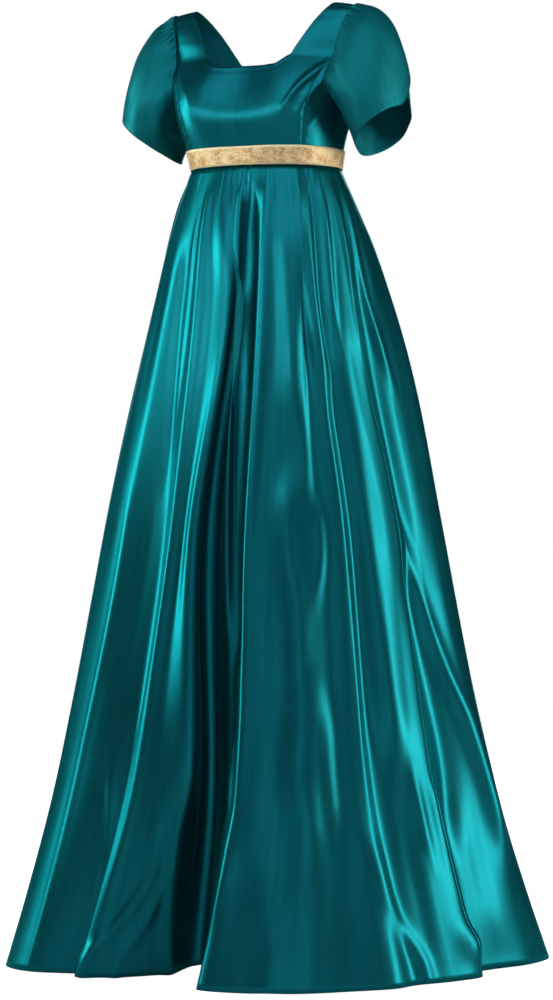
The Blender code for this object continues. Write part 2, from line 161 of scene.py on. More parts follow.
# %% Room and floor
FLOOR_REACH, FLOOR_GAP = 90, 0.012
world = bpy.data.worlds.new("room")
world.use_nodes = True
bpy.context.scene.world = world
room = world.node_tree
room.nodes.clear()
eye = node(room, "ShaderNodeLightPath")
pale = node(room, "ShaderNodeBackground", Color=(1, 1, 1, 1))
dim = node(room, "ShaderNodeBackground", Color=(0.016, 0.026, 0.034, 1))
either = node(room, "ShaderNodeMixShader",
              {"Fac": eye.outputs["Is Camera Ray"], 1: dim.outputs[0], 2: pale.outputs[0]})
node(room, "ShaderNodeOutputWorld", {"Surface": either.outputs[0]})

floor_mesh = bpy.data.meshes.new("floor")
corners = ((-1, -1), (1, -1), (1, 1), (-1, 1))
floor_mesh.from_pydata([(x * FLOOR_REACH, y * FLOOR_REACH, HEM - FLOOR_GAP) for x, y in corners],
                       [], [(0, 1, 2, 3)])
floor = bpy.data.objects.new("floor", floor_mesh)
bpy.context.scene.collection.objects.link(floor)
paint = bpy.data.materials.new("floor")
paint.use_nodes = True
plain = paint.node_tree.nodes["Principled BSDF"]
set_all(plain, {"Base Color": (0.60, 0.60, 0.60, 1), "Roughness": 0.9,
                "Specular IOR Level": 0.0, "Emission Color": (1, 1, 1, 1)})
floor_eye = node(paint.node_tree, "ShaderNodeLightPath")
paint.node_tree.links.new(floor_eye.outputs["Is Camera Ray"], plain.inputs["Emission Strength"])
floor_mesh.materials.append(paint)
bpy.context.scene.view_settings.view_transform = "Standard"
print(f"floor {FLOOR_GAP * 1000:.0f} mm below the hem")

# %% [markdown]
# ## From a table to a sheet of cloth
#
# A few helpers do most of the work.  `curve` draws a smooth line through the
# rows of a table, so a few sizes describe a whole surface.  `sheet` turns a
# grid of points into a mesh with a UV map in metres of cloth, so the weave
# always runs with the piece.

# %% Smooth lines


def hermite(t, start, end, leaves, arrives):
    """From start to end, with the slope that each is left or met with."""
    return ((2 * t**3 - 3 * t**2 + 1) * start + (t**3 - 2 * t**2 + t) * leaves
            + (3 * t**2 - 2 * t**3) * end + (t**3 - t**2) * arrives)


def curve(knots, values, at):
    """Smooth lines through the rows of `values`, read at each of `at`."""
    x, v = np.asarray(knots, float), np.asarray(values, float)
    at = np.asarray(at, float)
    flat = v.reshape(len(x), -1)
    step = np.diff(x)[:, None]
    slope = np.diff(flat, axis=0) / step
    w = step[1:] / (step[1:] + step[:-1])
    grade = np.vstack([slope[:1], slope[:-1] * w + slope[1:] * (1 - w), slope[-1:]])
    k = np.clip(np.searchsorted(x, at) - 1, 0, len(x) - 2)
    h = step[k]
    t = ((at - x[k]) / h[:, 0])[:, None]
    y = hermite(t, flat[k], flat[k + 1], h * grade[k], h * grade[k + 1])
    return y.reshape((len(at),) + v.shape[1:])


def line(table, at):
    return curve([p[0] for p in table], [p[1] for p in table], at)


def ease(a, b, x):
    """0 below a, 1 above b, and a soft step between."""
    t = np.clip((np.asarray(x, float) - a) / (b - a), 0, 1)
    return t * t * (3 - 2 * t)


def bell(x):
    return np.exp(-x**2)


def wander(seed, x, wave):
    """A smooth uneven line: the same each run, between about -1 and 1."""
    rng = np.random.default_rng(seed)
    n = int(np.ptp(x) / wave) + 4
    knots = np.arange(n + 1) * wave + np.min(x) - wave
    return curve(knots, rng.uniform(-1, 1, n + 1), np.ravel(x)).reshape(np.shape(x))


# %% [markdown]
# A piece of cloth is a grid of points, so most questions about it are about
# neighbours in the grid: which way the cloth faces, which way is out, and how
# much cloth lies between two points.

# %% Measuring a grid of points


def facing(grid):
    """Unit normals of a grid of points."""
    n = np.cross(np.gradient(grid, axis=1), np.gradient(grid, axis=0))
    return n / (np.linalg.norm(n, axis=2, keepdims=True) + 1e-12)


def level_out(loop):
    """Which way is out, and level, along a closed line."""
    along = np.roll(loop, -1, -2) - np.roll(loop, 1, -2)
    out = np.stack([along[..., 1], -along[..., 0], 0 * along[..., 0]], -1)
    return out / np.linalg.norm(out, axis=-1, keepdims=True)


def run_across(grid):
    """Metres of cloth from the first column to each point of every row."""
    steps = np.linalg.norm(np.diff(grid, axis=1), axis=2)
    return np.concatenate([np.zeros((len(grid), 1)), np.cumsum(steps, 1)], 1)


def mirrored(grid):
    """The same piece for the other side of the body."""
    g = np.array(grid)[:, ::-1].copy()
    g[..., 0] *= -1
    return g


# %% [markdown]
# A sheet has no inside to build.  Its grid is the middle of the cloth, and a
# Solidify modifier gives it the cloth's thickness, half to each side.  The
# second material goes on the back, where the lining side would show.

# %% A sheet of cloth
CLOTH_THICK, RIBBON_THICK = 0.0010, 0.0012
PIECES, SIZES = {}, {}


def unrolled(grid, cells):
    """What a piece unrolls to: its widest row, longest column, and area."""
    diagonals = np.cross(grid[1:, 1:] - grid[:-1, :-1], grid[1:, :-1] - grid[:-1, 1:])
    areas = 0.5 * np.linalg.norm(diagonals, axis=2)
    widths = np.linalg.norm(np.diff(grid, axis=1), axis=2)
    lengths = np.linalg.norm(np.diff(grid, axis=0), axis=2)
    if cells is not None:
        areas, widths = areas * cells, widths[:-1] * cells
    return float(widths.sum(1).max()), float(lengths.sum(0).max()), float(areas.sum())


def sheet(name, grid, cells=None, closed=False, thick=CLOTH_THICK, slots=()):
    """A cloth piece from a grid (row, column, xyz), thickened both ways."""
    rows, cols = grid.shape[:2]
    r, c = np.meshgrid(np.arange(rows - 1), np.arange(cols if closed else cols - 1), indexing="ij")
    d = (c + 1) % cols
    quads = np.stack([r * cols + c, r * cols + d, (r + 1) * cols + d, (r + 1) * cols + c], -1)
    quads = quads.reshape(-1, 4)
    if cells is not None:
        quads = quads[cells.reshape(-1)]
    used = np.unique(quads)
    index = np.zeros(rows * cols, int)
    index[used] = np.arange(len(used))
    mesh = bpy.data.meshes.new(name)
    mesh.from_pydata(grid.reshape(-1, 3)[used].tolist(), [], index[quads].tolist())
    # the cloth's own measure: across and along, in metres
    across = np.linalg.norm(np.diff(grid, axis=1), axis=2).mean(axis=0)
    across = np.concatenate([[0], np.cumsum(across)])
    along = np.linalg.norm(np.diff(grid, axis=0), axis=2).mean(axis=1)
    along = np.concatenate([[0], np.cumsum(along)])
    row, column = quads // cols, quads % cols
    if closed:
        # the far side of the last column is the first column, one turn on
        column = np.where((column == 0) & (column[:, :1] == cols - 1), cols, column)
        across = np.append(across, across[-1] + across[1])
    uv = mesh.uv_layers.new(name="cloth")
    uv.data.foreach_set("uv", np.stack([across[column], along[row]], -1).astype(np.float32).ravel())
    mesh.shade_smooth()
    for slot in slots:
        mesh.materials.append(slot)
    piece = bpy.data.objects.new(name, mesh)
    bpy.context.scene.collection.objects.link(piece)
    wall = piece.modifiers.new("wall", "SOLIDIFY")
    wall.thickness = thick
    wall.offset = 0
    wall.use_rim = True
    if len(slots) > 1:
        wall.material_offset = 1
    whole = np.concatenate([grid, grid[:, :1]], 1) if closed else grid
    PIECES[name], SIZES[name] = piece, unrolled(whole, cells)
    wide, long, area = SIZES[name]
    print(f"{name}: {len(quads)} faces, unrolls to {wide:.3f} x {long:.3f} m, {area:.4f} m2")


# %% [markdown]
# ## Satin
#
# Satin's face is made of long floating threads, so it shines like soft metal
# in its own colour: the highlights are bright teal and not white.  That is a
# metallic shader with a broad gloss.  The threads break the gloss a little:
# fine lines along the cloth and slow changes from place to place, in its bump
# and in its colour.  The colour is lighter where the threads are raised, a
# painted sheen, and darker in the hollows, a painted shade.  All of this is
# worked out in a group, because the sleeves and the back of the cloth use it too.

# %% The thread pattern and its painted sheen, as a group


def drawn_out(tree, uv, scale, detail):
    """Noise stretched over the cloth; scale is so many to the metre."""
    stretch = node(tree, "ShaderNodeMapping", {"Vector": uv.outputs["UV"]}, Scale=scale)
    return node(tree, "ShaderNodeTexNoise", {"Vector": stretch.outputs[0]}, Scale=1.0, Detail=detail)


threads = bpy.data.node_groups.new("satin threads", "ShaderNodeTree")
sockets(threads, "INPUT", (("Colour", "Color"), ("Deep", "Color"),
                           ("Gloss", "Float", 0.36), ("Slub", "Float", 0.5)))
sockets(threads, "OUTPUT", (("Colour", "Color"), ("Roughness", "Float"), ("Height", "Float")))
given = node(threads, "NodeGroupInput").outputs
uv = node(threads, "ShaderNodeUVMap", uv_map="cloth")
fine = drawn_out(threads, uv, (900, 26, 1), 2.0)
broad = drawn_out(threads, uv, (140, 5, 1), 3.0)
patch = node(threads, "ShaderNodeTexNoise", {"Vector": uv.outputs["UV"]}, Scale=9.0, Detail=2.0)
raised = node(threads, "ShaderNodeMath", {0: fine.outputs[0], 1: given["Slub"], 2: broad.outputs[0]},
              operation="MULTIPLY_ADD")
# painted sheen and shade: the colour is lighter where the threads are raised and darker in their hollows
tone_and_sheen = node(threads, "ShaderNodeMapRange", {"Value": raised.outputs[0]},
            **{"From Min": 0.45, "From Max": 1.05})
blend = node(threads, "ShaderNodeMix", data_type="RGBA",
             wires={MIX_BY: tone_and_sheen.outputs[0], MIX_FROM: given["Deep"], MIX_TO: given["Colour"]})
rough = node(threads, "ShaderNodeMath", {0: patch.outputs[0], 2: given["Gloss"]}, operation="MULTIPLY_ADD")
rough.inputs[1].default_value = 0.10
node(threads, "NodeGroupOutput", {"Colour": blend.outputs[MIXED], "Roughness": rough.outputs[0],
                                  "Height": raised.outputs[0]})
print(f"satin threads: {len(threads.nodes)} nodes")

# %% [markdown]
# One function makes each side of the satin, with its own colours and gloss.
# The face is the brightest.  The sleeves are softer, as cloth cut crossways
# is, and the back of satin is nearly dull.

# %% Satin face and back


def satin(name, colour, deep, gloss, metal, bump):
    """One side of the satin: its colour comes back in the highlights."""
    mat = bpy.data.materials.new(name)
    mat.use_nodes = True
    tree = mat.node_tree
    bsdf = tree.nodes["Principled BSDF"]
    group = node(tree, "ShaderNodeGroup", node_tree=threads,
                 Colour=(*colour, 1), Deep=(*deep, 1), Gloss=gloss)
    set_all(bsdf, {"Metallic": metal, "Specular IOR Level": 0.25, "Specular Tint": (0.2, 1.0, 1.0, 1),
                   "Sheen Weight": 0.04, "Sheen Tint": (0.05, 0.75, 0.8, 1), "Sheen Roughness": 0.4})
    bumps = node(tree, "ShaderNodeBump", {"Height": group.outputs["Height"]}, Strength=bump, Distance=0.0002)
    tree.links.new(group.outputs["Colour"], bsdf.inputs["Base Color"])
    tree.links.new(group.outputs["Roughness"], bsdf.inputs["Roughness"])
    tree.links.new(bumps.outputs[0], bsdf.inputs["Normal"])
    return mat


# each second colour is the painted shade in the hollows of the threads
satin_face = satin("satin_face", (0.006, 0.146, 0.172), (0.002, 0.112, 0.140), 0.33, 0.92, 0.25)
satin_cross = satin("satin_cross", (0.005, 0.150, 0.172), (0.002, 0.112, 0.134), 0.48, 0.72, 0.45)
satin_back = satin("satin_back", (0.003, 0.150, 0.175), (0.002, 0.112, 0.136), 0.55, 0.30, 0.25)
ALONG, CROSSWAYS = (satin_face, satin_back), (satin_cross, satin_back)
print("satin: face", satin_face.name, "| sleeves", satin_cross.name, "| back", satin_back.name)

# %% [markdown]
# ## Gold brocade ribbon
#
# The ribbon is woven with flat gold metal strips over a warm brown ground.
# A small all-over figure repeats along it, and the two woven edges are
# paler.  A fine noise for the weave, a cell pattern for the figure and a
# band along each edge give that without a picture.

# %% Ribbon material
FIGURE = (260, 420, 1)              # figures to the metre, along and across
SELVEDGE_FROM, SELVEDGE_TO = 0.0032, 0.0018     # metres in from the edge
brocade = bpy.data.materials.new("gold_brocade")
brocade.use_nodes = True
tree = brocade.node_tree
gold = tree.nodes["Principled BSDF"]
uv = node(tree, "ShaderNodeUVMap", uv_map="cloth")
spread = node(tree, "ShaderNodeMapping", {"Vector": uv.outputs["UV"]}, Scale=FIGURE)
figure = node(tree, "ShaderNodeTexVoronoi", {"Vector": spread.outputs[0]}, Scale=1.0)
weave = drawn_out(tree, uv, (1500, 500, 1), 1.0)
cloud = node(tree, "ShaderNodeTexNoise", {"Vector": uv.outputs["UV"]}, Scale=70.0, Detail=3.0)
ground = node(tree, "ShaderNodeValToRGB", {"Fac": cloud.outputs[0]})
for stop, position, colour in zip(ground.color_ramp.elements, (0.40, 0.60),
                                  ((0.47, 0.215, 0.050, 1), (0.76, 0.52, 0.25, 1))):
    stop.position, stop.color = position, colour
glint = node(tree, "ShaderNodeMapRange", {"Value": figure.outputs["Distance"]},
             **{"From Min": 0.30, "From Max": 1.10})
strips = node(tree, "ShaderNodeMix", data_type="RGBA",
              wires={MIX_BY: glint.outputs[0], MIX_FROM: ground.outputs[0]})
strips.inputs[MIX_TO].default_value = (0.80, 0.63, 0.38, 1)
place = node(tree, "ShaderNodeSeparateXYZ", {0: uv.outputs["UV"]})
aside = node(tree, "ShaderNodeMath", {0: place.outputs["Y"]}, operation="SUBTRACT")
aside.inputs[1].default_value = RIBBON_WIDE / 2
from_middle = node(tree, "ShaderNodeMath", {0: aside.outputs[0]}, operation="ABSOLUTE")
selvedge = node(tree, "ShaderNodeMapRange", {"Value": from_middle.outputs[0]},
                **{"From Min": RIBBON_WIDE / 2 - SELVEDGE_FROM, "From Max": RIBBON_WIDE / 2 - SELVEDGE_TO})
edged = node(tree, "ShaderNodeMix", data_type="RGBA",
             wires={MIX_BY: selvedge.outputs[0], MIX_FROM: strips.outputs[MIXED]})
edged.inputs[MIX_TO].default_value = (0.80, 0.68, 0.40, 1)
relief = node(tree, "ShaderNodeMath", {0: figure.outputs["Distance"], 2: weave.outputs[0]},
              operation="MULTIPLY_ADD")
relief.inputs[1].default_value = 1.2
bumps = node(tree, "ShaderNodeBump", {"Height": relief.outputs[0]}, Strength=0.7, Distance=0.0005)
set_all(gold, {"Metallic": 0.30, "Roughness": 0.42})
tree.links.new(edged.outputs[MIXED], gold.inputs["Base Color"])
tree.links.new(bumps.outputs[0], gold.inputs["Normal"])
print(f"brocade: {len(tree.nodes)} nodes, figure every {1000 / FIGURE[0]:.1f} mm")

# %% [markdown]
# ## The bodice
#
# A bodice is cut to a body form, so the form comes first.  Each row of the
# table is one level section through it, and each pair of columns is a line
# that a dressmaker marks on a stand: centre, neck line, princess line, side.
# The panels are then just parts of that surface: the front between the two
# princess seams, a side front, and a half back.

# %% The body form
FORM = [
    # height  cf_f  half_x half_f  neck_x neck_f  prin_x prin_f  fside_x fside_f side_x
    (-0.2510, 0.095, 0.034, 0.091, 0.060, 0.082, 0.086, 0.067, 0.107, 0.040, 0.117),
    (-0.2150, 0.099, 0.036, 0.100, 0.064, 0.096, 0.094, 0.080, 0.114, 0.046, 0.121),
    (-0.1900, 0.102, 0.038, 0.108, 0.069, 0.111, 0.099, 0.097, 0.122, 0.052, 0.128),
    (-0.1600, 0.102, 0.040, 0.109, 0.073, 0.116, 0.104, 0.105, 0.130, 0.056, 0.138),
    (-0.1250, 0.091, 0.040, 0.097, 0.074, 0.103, 0.114, 0.084, 0.131, 0.054, 0.140),
    (-0.0900, 0.072, 0.038, 0.074, 0.069, 0.072, 0.129, 0.048, 0.133, 0.044, 0.142),
    (-0.0550, 0.052, 0.040, 0.052, 0.084, 0.053, 0.135, 0.037, 0.139, 0.034, 0.145),
    (-0.0250, 0.038, 0.045, 0.037, 0.100, 0.034, 0.142, 0.027, 0.144, 0.025, 0.148),
    (-0.0080, 0.024, 0.050, 0.022, 0.112, 0.020, 0.147, 0.017, 0.148, 0.015, 0.150),
    (-0.0020, 0.013, 0.054, 0.011, 0.116, 0.010, 0.149, 0.009, 0.150, 0.008, 0.151),
    (0.0000, 0.003, 0.055, 0.002, 0.117, 0.000, 0.149, 0.000, 0.150, 0.000, 0.151),
]
BACK = [
    # height  cb_b  half_x half_b  neck_x neck_b  blade_x blade_b bside_x bside_b
    (-0.2510, 0.095, 0.034, 0.091, 0.060, 0.082, 0.086, 0.067, 0.107, 0.040),
    (-0.2150, 0.095, 0.035, 0.093, 0.062, 0.085, 0.091, 0.070, 0.112, 0.042),
    (-0.1900, 0.096, 0.036, 0.094, 0.065, 0.087, 0.095, 0.073, 0.119, 0.044),
    (-0.1600, 0.097, 0.037, 0.095, 0.068, 0.088, 0.101, 0.073, 0.129, 0.045),
    (-0.1250, 0.097, 0.038, 0.095, 0.070, 0.087, 0.112, 0.066, 0.132, 0.045),
    (-0.0900, 0.093, 0.038, 0.091, 0.072, 0.082, 0.128, 0.048, 0.134, 0.041),
    (-0.0550, 0.083, 0.040, 0.080, 0.086, 0.061, 0.136, 0.036, 0.139, 0.033),
    (-0.0250, 0.055, 0.045, 0.050, 0.101, 0.038, 0.142, 0.027, 0.144, 0.025),
    (-0.0080, 0.030, 0.050, 0.026, 0.112, 0.021, 0.147, 0.017, 0.148, 0.015),
    (-0.0020, 0.015, 0.054, 0.013, 0.116, 0.010, 0.149, 0.009, 0.150, 0.008),
    (0.0000, 0.003, 0.055, 0.002, 0.117, 0.000, 0.149, 0.000, 0.150, 0.000),
]
NECK_FRONT = [(0.0, -0.1000), (1.0, -0.0995), (1.6, -0.0955), (2.0, -0.0840)]
NECK_BACK = [(0.0, -0.0920), (1.0, -0.0910), (1.6, -0.0870), (2.0, -0.0760)]
ARMHOLE = [(3.0, -0.0900), (3.5, -0.1220), (4.0, -0.1500), (4.5, -0.1690), (5.0, -0.1760)]
SHOULDER = -0.0002
FORM_LOW = FORM[0][0]
NECK, PRINCESS, SIDE = 2.0, 3.0, 5.0            # which marked line is which
print(f"body form: {len(FORM)} rows in front and {len(BACK)} behind")

# %% [markdown]
# A point of the form is given by its height and by the marked line it is on,
# and may lie part way between two lines.  The form is drawn on past the
# centre and the side seam, so that it is smooth there too.

# %% Points of the form


def form(u, z, back=False):
    """Points of the form: u counts the marked lines, 0 centre to 5 side."""
    u, z = np.broadcast_arrays(np.asarray(u, float), np.asarray(z, float))
    shape = u.shape
    u, z = u.ravel(), z.ravel()
    f = curve([q[0] for q in FORM], [q[1:] for q in FORM], z)
    b = curve([q[0] for q in BACK], [q[1:] for q in BACK], z)
    zero = 0 * z[:, None]
    ahead = (np.hstack([zero, f[:, 1:10:2]]), -np.hstack([f[:, 0:10:2], zero]))
    behind = (np.hstack([zero, b[:, 1:9:2], f[:, 9:10]]), np.hstack([b[:, 0:9:2], zero]))
    near, far = (behind, ahead) if back else (ahead, behind)
    xs = np.concatenate([-near[0][:, 1:2], near[0], far[0][:, 4:5]], 1)
    ys = np.concatenate([near[1][:, 1:2], near[1], far[1][:, 4:5]], 1)
    section = np.stack([xs, ys], 2)
    k = np.clip(np.floor(u).astype(int), 0, 4) + 1
    t = (u - (k - 1))[:, None]
    # the last line has no neighbour on its far side
    p0, p1, p2, p3 = (section[np.arange(len(u)), np.clip(k + j, 0, 7)] for j in (-1, 0, 1, 2))
    xy = hermite(t, p1, p2, (p2 - p0) / 2, (p3 - p1) / 2)
    # the shoulder slopes down from the neck to the arm
    fall = 0.0066 * np.clip(u - NECK, 0, 1) * np.clip(1 + z / 0.060, 0, 1)**2
    return np.concatenate([xy, (z - fall)[:, None]], 1).reshape(shape + (3,))


# %% [markdown]
# The panels could be drawn one by one, but then their edges would never quite
# meet.  Cutting them all from one surface keeps every seam closed.  The cloth
# is stretched over the bust, so the form is smoothed first, and the seams
# press a fine groove into it.

# %% Cutting the panels from the form
LOW = UNDERBUST + 0.0001
EDGE_IN = 0.00003                   # how far a sewn edge is drawn back
BODICE_ROWS, STRAP_ROWS = 60, 40
SMOOTHING = 320


def bodice_panel(us, neck, back):
    """Rows of points up to the neck or armhole, then up the strap."""
    corner = line(neck, [NECK])[0]
    strap = corner + (ARMHOLE[0][1] - corner) * (us - NECK)
    top = np.where(us <= NECK, line(neck, np.clip(us, 0, NECK)),
                   np.where(us <= PRINCESS, strap, line(ARMHOLE, np.clip(us, PRINCESS, SIDE))))
    end = np.where((us >= NECK) & (us <= PRINCESS), SHOULDER, top)
    up = np.linspace(0, 1, BODICE_ROWS + 1)[:, None]
    on = 1 - (1 - np.linspace(0, 1, STRAP_ROWS + 1)[1:, None]) ** 1.7
    z = np.vstack([LOW + (top - LOW) * up, top + (end - top) * on])
    return form(np.broadcast_to(us, z.shape), z, back)


def strap_only(us, rows):
    """Which cells of a panel are cloth: above the neck only the strap."""
    r = np.arange(rows - 1)[:, None]
    mid = 0.5 * (np.abs(us[1:]) + np.abs(us[:-1]))[None, :]
    return (r < BODICE_ROWS) | ((mid > NECK) & (mid < PRINCESS))


def even(grid):
    """Stretched cloth has no small dents: let each point settle between
    its neighbours, and keep the cut edges where they are."""
    g = grid.copy()
    hold = np.zeros(g.shape[:2])
    hold[1:-1, 1:-1] = 1
    hold[-4:-1] *= 0.35
    for _ in range(SMOOTHING):
        middle = (g[:-2, 1:-1] + g[2:, 1:-1] + g[1:-1, :-2] + g[1:-1, 2:]) / 4
        g[1:-1, 1:-1] += (middle - g[1:-1, 1:-1]) * hold[1:-1, 1:-1, None] * 0.8
    return g


def whole_side(neck, back):
    """Half of the body from the centre to the side seam, as one grid."""
    us = np.concatenate([np.linspace(0, NECK, 61), np.linspace(NECK, PRINCESS, 41)[1:],
                         np.linspace(PRINCESS, SIDE, 71)[1:]])
    full = bodice_panel(us, neck, back)
    low = full[:BODICE_ROWS + 1]
    other = low[:, :0:-1].copy()
    other[..., 0] *= -1
    full[:BODICE_ROWS + 1] = even(np.concatenate([other, low], 1))[:, len(us) - 1:]
    print(f"{'back' if back else 'front'} form: {full.shape[0]} x {full.shape[1]} points")
    return us, full


def seam_at(us, full, marked, seed):
    """A seam's groove and small drags, measured in metres from its line."""
    c = int(np.argmin(np.abs(us - marked)))
    run = run_across(full)
    off = np.abs(run - run[:, c:c + 1])
    rows = np.arange(len(full))
    groove = -0.0007 * (1 + 0.5 * wander(seed, rows / 3.2, 1.0)[:, None]) * bell(off / 0.0028)
    return groove + 0.0005 * wander(seed + 7, rows / 1.7, 1.0)[:, None] * bell((off - 0.006) / 0.006)


# %% [markdown]
# The satin is pulled from bust to bust, so it bridges the hollow between.  A
# few drags run from the armhole down to the bust, strong on the wearer's left
# and only faint on the right.

# %% The front of the bodice
BRIDGE, BUST = 0.0080, -0.176       # metres out, and the height it is at
NECK_TURN = 3                       # rows turned in at the neck
FAINT = 0.15                        # the drags on the wearer's right
DRAGS = [
    # from and to (marked line), from and to (row), height (m)
    (3.00, 2.20, 57, 31, 0.0040), (3.35, 2.75, 54, 27, 0.0024), (3.9, 3.2, 46, 20, 0.0012),
]
us_f, front_half = whole_side(NECK_FRONT, False)
u_line, row_line = us_f[None, :], np.arange(len(front_half))[:, None]
shape = seam_at(us_f, front_half, PRINCESS, 3) + seam_at(us_f, front_half, SIDE, 5)
shape[BODICE_ROWS + 1:] = 0
shape = shape + BRIDGE * bell(u_line / 1.25) * bell((front_half[..., 2] - BUST) / 0.030)
shape = shape - 0.0004 * bell((row_line - (BODICE_ROWS - NECK_TURN)) / 0.8) * (u_line < 2.05)
drags = 0 * shape
for u0, u1, r0, r1, high in DRAGS:
    path = u1 + (u0 - u1) * np.clip((row_line - r1) / (r0 - r1), 0, 1)
    fades = ease(r1 - 6, r1 + 4, row_line) * (1 - ease(r0 - 4, r0 + 6, row_line))
    drags = drags + high * bell((u_line - path) / 0.15) * fades
front_out = facing(front_half)
left_half = front_half + front_out * (shape + drags)[..., None]
right_half = front_half + front_out * (shape + FAINT * drags)[..., None]
print(f"bodice front: the cloth moves {shape.min() * 1000:.1f} to {(shape + drags).max() * 1000:.1f} mm")

# %% [markdown]
# Three panels make the front, cut at the princess lines, and two make the
# back, with a seam down the centre.

# %% The five panels
SIDE_EDGE = 0.03                    # part of a cell that the side front is drawn back
cut = int(np.argmin(np.abs(us_f - PRINCESS)))
front = np.concatenate([mirrored(right_half[:, :cut + 1])[:, :-1], left_half[:, :cut + 1]], 1)
us_front = np.concatenate([-us_f[cut:0:-1], us_f[:cut + 1]])
sheet("front_bodice", front, strap_only(us_front, len(front)), slots=ALONG)
for side_name, half in (("left", left_half), ("right", right_half)):
    side = half[:BODICE_ROWS + 1, cut:].copy()
    side[:, 0] += (side[:, 1] - side[:, 0]) * SIDE_EDGE
    sheet(side_name + "_side_front", side if side_name == "left" else mirrored(side), slots=ALONG)

us_b, back_half = whole_side(NECK_BACK, True)
seams = seam_at(us_b, back_half, 0.0, 14) + seam_at(us_b, back_half, SIDE, 16)
back_half = back_half - facing(back_half) * seams[..., None]
back = back_half[:, ::-1].copy()
back[:, -1, 0] += EDGE_IN
cells = strap_only(us_b[::-1], len(back))
sheet("left_back", back, cells, slots=ALONG)
sheet("right_back", mirrored(back), cells[:, ::-1], slots=ALONG)

# %% [markdown]
# ## The ribbon
#
# The ribbon lies on the bodice, so its line is the bodice's own, moved out.

# %% Ribbon round the under-bust seam
RIBBON_OUT = 0.00245                # from the form to the ribbon's middle
quarter = np.linspace(0, SIDE, 61)[:-1]
QUARTERS = ((quarter, False, 1), (SIDE - quarter, True, 1),
            (quarter, True, -1), (SIDE - quarter, False, -1))


def ribbon_line(height):
    """One closed level line round the bodice, with the ribbon's own ripple."""
    loop = []
    for u, is_back, sign in QUARTERS:
        points = form(u, np.full(u.shape, max(height, FORM_LOW)), is_back)
        points[:, 0] *= sign
        points[:, 2] = height
        loop.append(points)
    loop = np.vstack(loop)
    ripple = 0.0003 * wander(21, np.arange(len(loop)) / 9.0, 1.0)[:, None]
    return loop + level_out(loop) * (RIBBON_OUT + ripple)


ribbon_grid = np.array([ribbon_line(h) for h in np.linspace(UNDERBUST, UNDERBUST + RIBBON_WIDE, 9)])
sheet("gold_ribbon", ribbon_grid, closed=True, thick=RIBBON_THICK, slots=(brocade,))

# %% [markdown]
# ## Petal sleeves
#
# Each sleeve is a short puff in two petals that cross over the arm.  One row
# of the table is a line from the armhole down to the edge.  The front petal
# lies over the back one.

# %% The sleeve's shape
SLEEVE = [
    # turn  puff_x  puff_y  puff_z   edge_x  edge_y  edge_z
    (0,   0.2060,  0.000, -0.0600, 0.2320,  0.000, -0.1640),
    (45,  0.1890, -0.054, -0.0850, 0.2160, -0.050, -0.1730),
    (90,  0.1640, -0.076, -0.1280, 0.1910, -0.066, -0.1950),
    (135, 0.1520, -0.062, -0.1780, 0.1650, -0.042, -0.2190),
    (180, 0.1530,  0.010, -0.2040, 0.1540,  0.013, -0.2330),
    (225, 0.1530,  0.064, -0.1780, 0.1690,  0.050, -0.2250),
    (270, 0.1660,  0.081, -0.1280, 0.1940,  0.070, -0.2040),
    (315, 0.1890,  0.056, -0.0850, 0.2170,  0.052, -0.1780),
]
BEGIN, FULL = 62, 25
CAPS = {"left": (0.001, 0.000, 0.012), "right": (-0.003, 0.000, 0.000)}
HEAD_OUT = 0.0006                   # the sleeve's head stands on the bodice


def form_facing(u, z, back):
    along = form(u + 0.04, z, back) - form(u - 0.04, z, back)
    up = form(u, np.minimum(z + 0.002, 0), back) - form(u, np.maximum(z - 0.002, FORM_LOW), back)
    n = np.cross(along, up) * (-1 if back else 1)
    return n / np.linalg.norm(n, axis=-1, keepdims=True)


def armhole(turn):
    """The bodice's edge round the arm, a little further out to the side."""
    turn = (np.asarray(turn, float) + 180) % 360 - 180
    part = np.abs(turn) / 90
    u = np.where(part <= 1, PRINCESS, PRINCESS + (SIDE - PRINCESS) * (part - 1))
    strap = SHOULDER + (ARMHOLE[0][1] - SHOULDER) * np.minimum(part, 1) ** 1.9
    z = np.where(part <= 1, strap, line(ARMHOLE, np.maximum(u, PRINCESS)))
    ahead = form(u, z, False) + form_facing(u, z, False) * HEAD_OUT
    behind = form(u, z, True) + form_facing(u, z, True) * HEAD_OUT
    return np.where((turn < 0)[:, None], behind, ahead) + np.array([HEAD_OUT, 0, 0])


def puff(turn, along, cap):
    """Points of the puff: turn is round the arm, along is down from the head."""
    rows = [(q[0] + w, *q[1:]) for w in (-360, 0, 360) for q in SLEEVE]
    r = curve([q[0] for q in rows], [q[1:] for q in rows], turn)
    head, full, edge = armhole(turn), r[:, 0:3], r[:, 3:6]
    full = full + np.array(cap) * (np.maximum(np.cos(np.radians(turn)), 0)**2)[:, None]
    pull = 2 * full - (head + edge) / 2
    t = along[..., None]
    return head * (1 - t)**2 + pull * 2 * t * (1 - t) + edge * t**2


print(f"sleeve: {len(SLEEVE)} lines round the arm")

# %% [markdown]
# Small gathers at the head push the puff up.  They could be one repeated
# wave, but hand gathers are never even, so each has its own place and depth.

